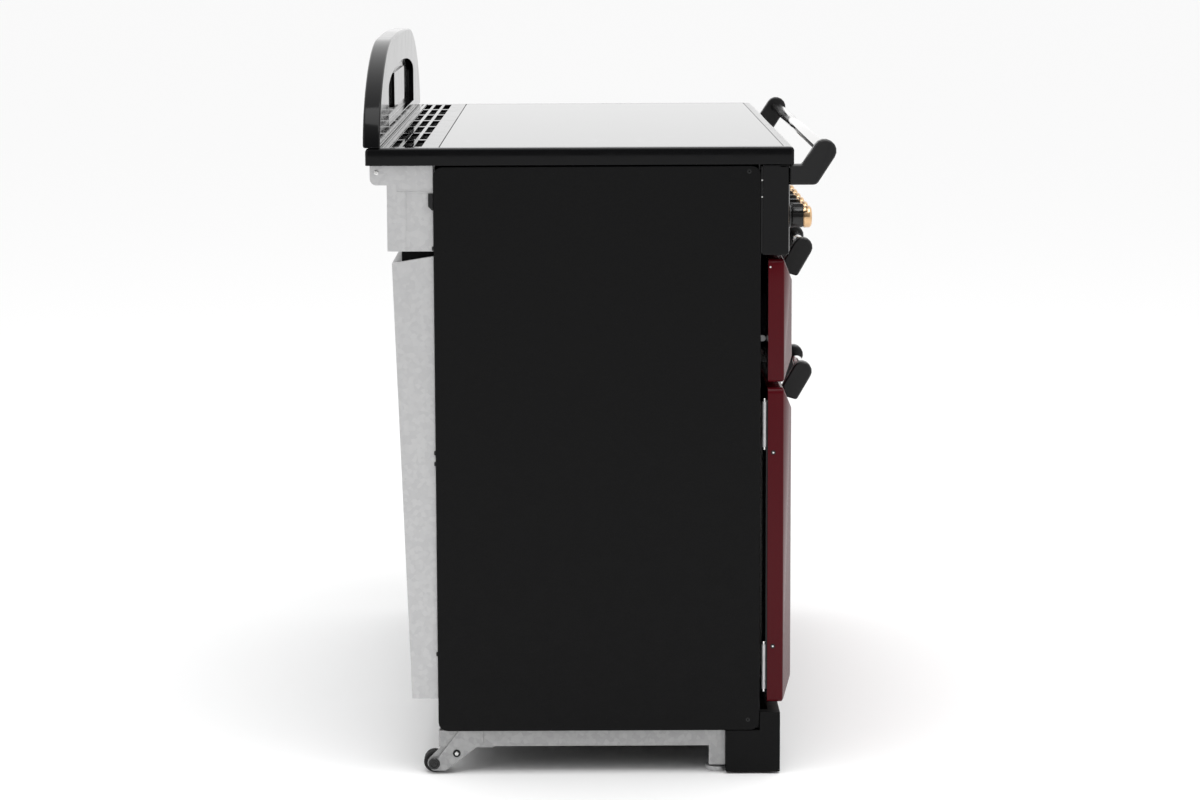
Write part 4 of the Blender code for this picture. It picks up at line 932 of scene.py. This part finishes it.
# %% [markdown]
# ## Seals round the oven mouths
# A braided cord runs round each mouth and is squeezed by the door. It starts as a flat block as large as
# the mouth. Its corners are rounded, both large faces are inset, and the two inner faces are bridged,
# which opens the middle and leaves a ring.
# %% Lay the seals
SEAL_WIDE = 7 * MM
SEAL_THICK = 6 * MM
SEAL_MARGIN = 4 * MM
for node, name in (("left_oven_cavity", "left_oven_seal"), ("right_oven_cavity", "right_oven_seal")):
    low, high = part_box(node)
    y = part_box("front_frame")[0].y
    reach = SEAL_MARGIN + SEAL_WIDE
    corner = (low.x - reach, y - SEAL_THICK, low.z - reach)
    seal = box(name, corner, (high.x + reach, y + 0.2 * MM, high.z + reach))
    pick(seal, "EDGE", lambda edge: runs_along(edge, 1))
    bpy.ops.mesh.bevel(offset=22 * MM, segments=8, affect="EDGES")
    close_edit()
    pick(seal, "FACE", lambda face: abs(face.normal.y) > 0.9)
    bpy.ops.mesh.inset(thickness=SEAL_WIDE)
    bpy.ops.mesh.bridge_edge_loops()
    close_edit()
    dress(soften(seal, 1.9 * MM, 4), seal_cord, "cooker")
print("2 oven seals laid")

# %% [markdown]
# ## Inside the ovens
# Each oven has wire runners for its shelf and a round fan cover with slots in its back wall, and the
# grill has a heating element bent into hairpins under its roof. The rods are bent as curves and then
# made solid.
# %% Bend the rods


def bent_rod(name, points, radius, material, body):
    """A round rod that follows a list of points, with its bends rounded by the curve."""
    curve = bpy.data.curves.new(name, "CURVE")
    curve.dimensions = "3D"
    curve.bevel_depth = radius
    curve.bevel_resolution = 3
    curve.use_fill_caps = True
    line = curve.splines.new("POLY")
    line.points.add(len(points) - 1)
    for point, place in zip(line.points, points):
        point.co = (*place, 1)
    rod = bpy.data.objects.new(name, curve)
    bpy.context.scene.collection.objects.link(rod)
    deselect()
    rod.select_set(True)
    bpy.context.view_layer.objects.active = rod
    bpy.ops.object.convert(target="MESH")
    bpy.ops.object.shade_smooth_by_angle(angle=radians(50))
    return dress(bpy.context.object, material, body)


def hairpin(low, high, turns, height):
    """The line of an element: straight runs from front to back, joined by half circles."""
    pitch = (high.x - low.x) / turns
    points = []
    for i in range(turns + 1):
        x = low.x + i * pitch
        ends = [(x, low.y), (x, high.y)] if i % 2 == 0 else [(x, high.y), (x, low.y)]
        points += [(*p, height) for p in ends]
        if i < turns:
            sign = 1 if i % 2 == 0 else -1
            y = ends[1][1]
            arc = [pi * k / 8 for k in range(1, 8)]
            points += [(x + pitch / 2 * (1 - cos(a)), y + sign * pitch / 2 * sin(a), height) for a in arc]
    return points


ELEMENT_RADIUS = 3.2 * MM
ELEMENT_BELOW_ROOF = 16 * MM
HAIRPINS = 8
RUNNERS = 4
RUNNER_RADIUS = 1.9 * MM
RUNNER_FROM_WALL = 4.6 * MM
RUNNER_FOOT = 55 * MM
RUNNER_PITCH = 78 * MM
grill_in_low, grill_in_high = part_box("grill_cavity")
element_low = Vector((grill_in_low.x + 45 * MM, grill_in_low.y + 50 * MM, 0))
element_high = Vector((grill_in_high.x - 45 * MM, grill_in_high.y - 50 * MM, 0))
element = hairpin(element_low, element_high, HAIRPINS, grill_in_high.z - ELEMENT_BELOW_ROOF)
bent_rod("grill_element", element, ELEMENT_RADIUS, heater, "cooker")
for side in ("left", "right"):
    low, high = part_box(side + "_oven_cavity")
    shelf_low, shelf_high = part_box(side + "_oven_shelf")
    for end, x in (("outer", low.x + RUNNER_FROM_WALL), ("inner", high.x - RUNNER_FROM_WALL)):
        for level in range(RUNNERS):
            z = low.z + RUNNER_FOOT + level * RUNNER_PITCH
            near, far = shelf_low.y + 4 * MM, shelf_high.y - 4 * MM
            line = [(x, near, z + 14 * MM), (x, near, z + 2 * MM), (x, near + 3 * MM, z), (x, far, z)]
            line += [(x, far + 3 * MM, z + 2 * MM), (x, far + 3 * MM, z + 14 * MM)]
            bent_rod("%s_oven_runner_%s_%d" % (side, end, level + 1), line, RUNNER_RADIUS, chrome, "cooker")
print("element and 16 runners bent")

# %% Turn the fan covers
FAN_SLOTS_NEAR = 50 * MM
FAN_SLOTS_FAR = 62 * MM


def is_fan_slot(face):
    """A face in the ring of the cover that holds its slots."""
    reach = (face.calc_center_median() - Vector(hub)).length
    return face.normal.y < -0.9 and FAN_SLOTS_NEAR < reach < FAN_SLOTS_FAR


for side in ("left", "right"):
    low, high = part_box(side + "_oven_cavity")
    hub = ((low.x + high.x) / 2, high.y - 3 * MM, (low.z + high.z) / 2 + 12 * MM)
    steps = [(96 * MM, 0), (96 * MM, 3 * MM), (90 * MM, 9 * MM), (70 * MM, 10 * MM), (68 * MM, 8.6 * MM)]
    steps += [(40 * MM, 8.6 * MM), (38 * MM, 10 * MM), (12 * MM, 10.6 * MM), (3 * MM, 10.8 * MM)]
    cover = turned(side + "_fan_cover", hub, outward, steps, 72)
    pick(cover, "FACE", is_fan_slot)
    bpy.ops.mesh.inset(thickness=1.2 * MM, use_individual=True)
    bpy.ops.mesh.extrude_region_move(TRANSFORM_OT_translate={"value": (0, 4 * MM, 0)})
    close_edit()
    dress(cover, oven_enamel, "cooker")
print("2 fan covers turned")

# %% [markdown]
# ## The back
# From behind, the cooker is plain galvanised sheet. Rows of pressed louvres let the fans breathe, screws
# run down the cover's edges, and a small box covers the mains terminals.
# %% Press one louvre and copy it
LOUVRE_SIZE = Vector((46, 4, 5)) * MM
LOUVRE_COLUMNS = (-360 * MM, -240 * MM, 240 * MM, 360 * MM)
LOUVRE_ROWS = 9
LOUVRE_PITCH = 15 * MM
LOUVRE_FOOT = 560 * MM
COVER_END = 38 * MM
slope = (cover_high.y - cover_low.y - COVER_END) / (cover_high.z - cover_low.z)


def cover_face(z):
    """How far back the tapered cover reaches at a height."""
    return cover_low.y + COVER_END + (z - cover_low.z) * slope


def is_louvre_lip(edge):
    """The upper edge of a louvre that faces away from the cover."""
    return runs_along(edge, 0) and middle(edge).y > start.y and middle(edge).z > start.z


start = Vector((0, cover_face(LOUVRE_FOOT), LOUVRE_FOOT))
louvre = box("louvre_model", start - LOUVRE_SIZE / 2, start + LOUVRE_SIZE / 2)
pick(louvre, "EDGE", is_louvre_lip)
bpy.ops.mesh.bevel(offset=3 * MM, segments=3, affect="EDGES")
close_edit()
louvres = []
for x in LOUVRE_COLUMNS:
    for row in range(LOUVRE_ROWS):
        z = LOUVRE_FOOT + row * LOUVRE_PITCH
        louvres.append(copied(louvre, "louvre", (x, cover_face(z) - start.y, z - start.z)))
bpy.data.objects.remove(louvre)
dress(soften(joined("rear_louvres", louvres), 0.3 * MM), galvanised, "cooker")
print(len(LOUVRE_COLUMNS) * LOUVRE_ROWS, "louvres pressed")

# %% Fit the terminal box and the back screws
TERMINAL_LOW = Vector((300 * MM, 0, 250 * MM))
TERMINAL_SIZE = Vector((100 * MM, 0, 100 * MM))
TERMINAL_SUNK = Vector((0, 6 * MM, 0))
TERMINAL_PROUD = Vector((0, 11 * MM, 0))
BACK_SCREWS = 9
BACK_SCREW_PITCH = 125 * MM
sheet = Vector((0, cover_face(300 * MM), 0))
terminal_high = TERMINAL_LOW + TERMINAL_SIZE + sheet + TERMINAL_PROUD
terminal = box("terminal_box", TERMINAL_LOW + sheet - TERMINAL_SUNK, terminal_high)
pick(terminal, "EDGE", lambda edge: runs_along(edge, 1))
bpy.ops.mesh.bevel(offset=6 * MM, segments=4, affect="EDGES")
close_edit()
pick(terminal, "FACE", lambda face: face.normal.y > 0.9)
bpy.ops.mesh.inset(thickness=5 * MM, depth=2 * MM)
close_edit()
dress(soften(terminal, 0.8 * MM), galvanised, "cooker")
for name, z in (("lower", cover_low.z + 10 * MM), ("upper", cover_high.z - 22 * MM)):
    for number in range(1, BACK_SCREWS + 1):
        spot = ((number - (BACK_SCREWS + 1) / 2) * BACK_SCREW_PITCH, cover_face(z) - 0.6 * MM, z)
        screw("%s_cover_screw_%d" % (name, number), spot, (0, 1, 0), 4 * MM, 2 * MM, zinc, "cooker")
print("terminal box and", 2 * BACK_SCREWS, "screws fitted")
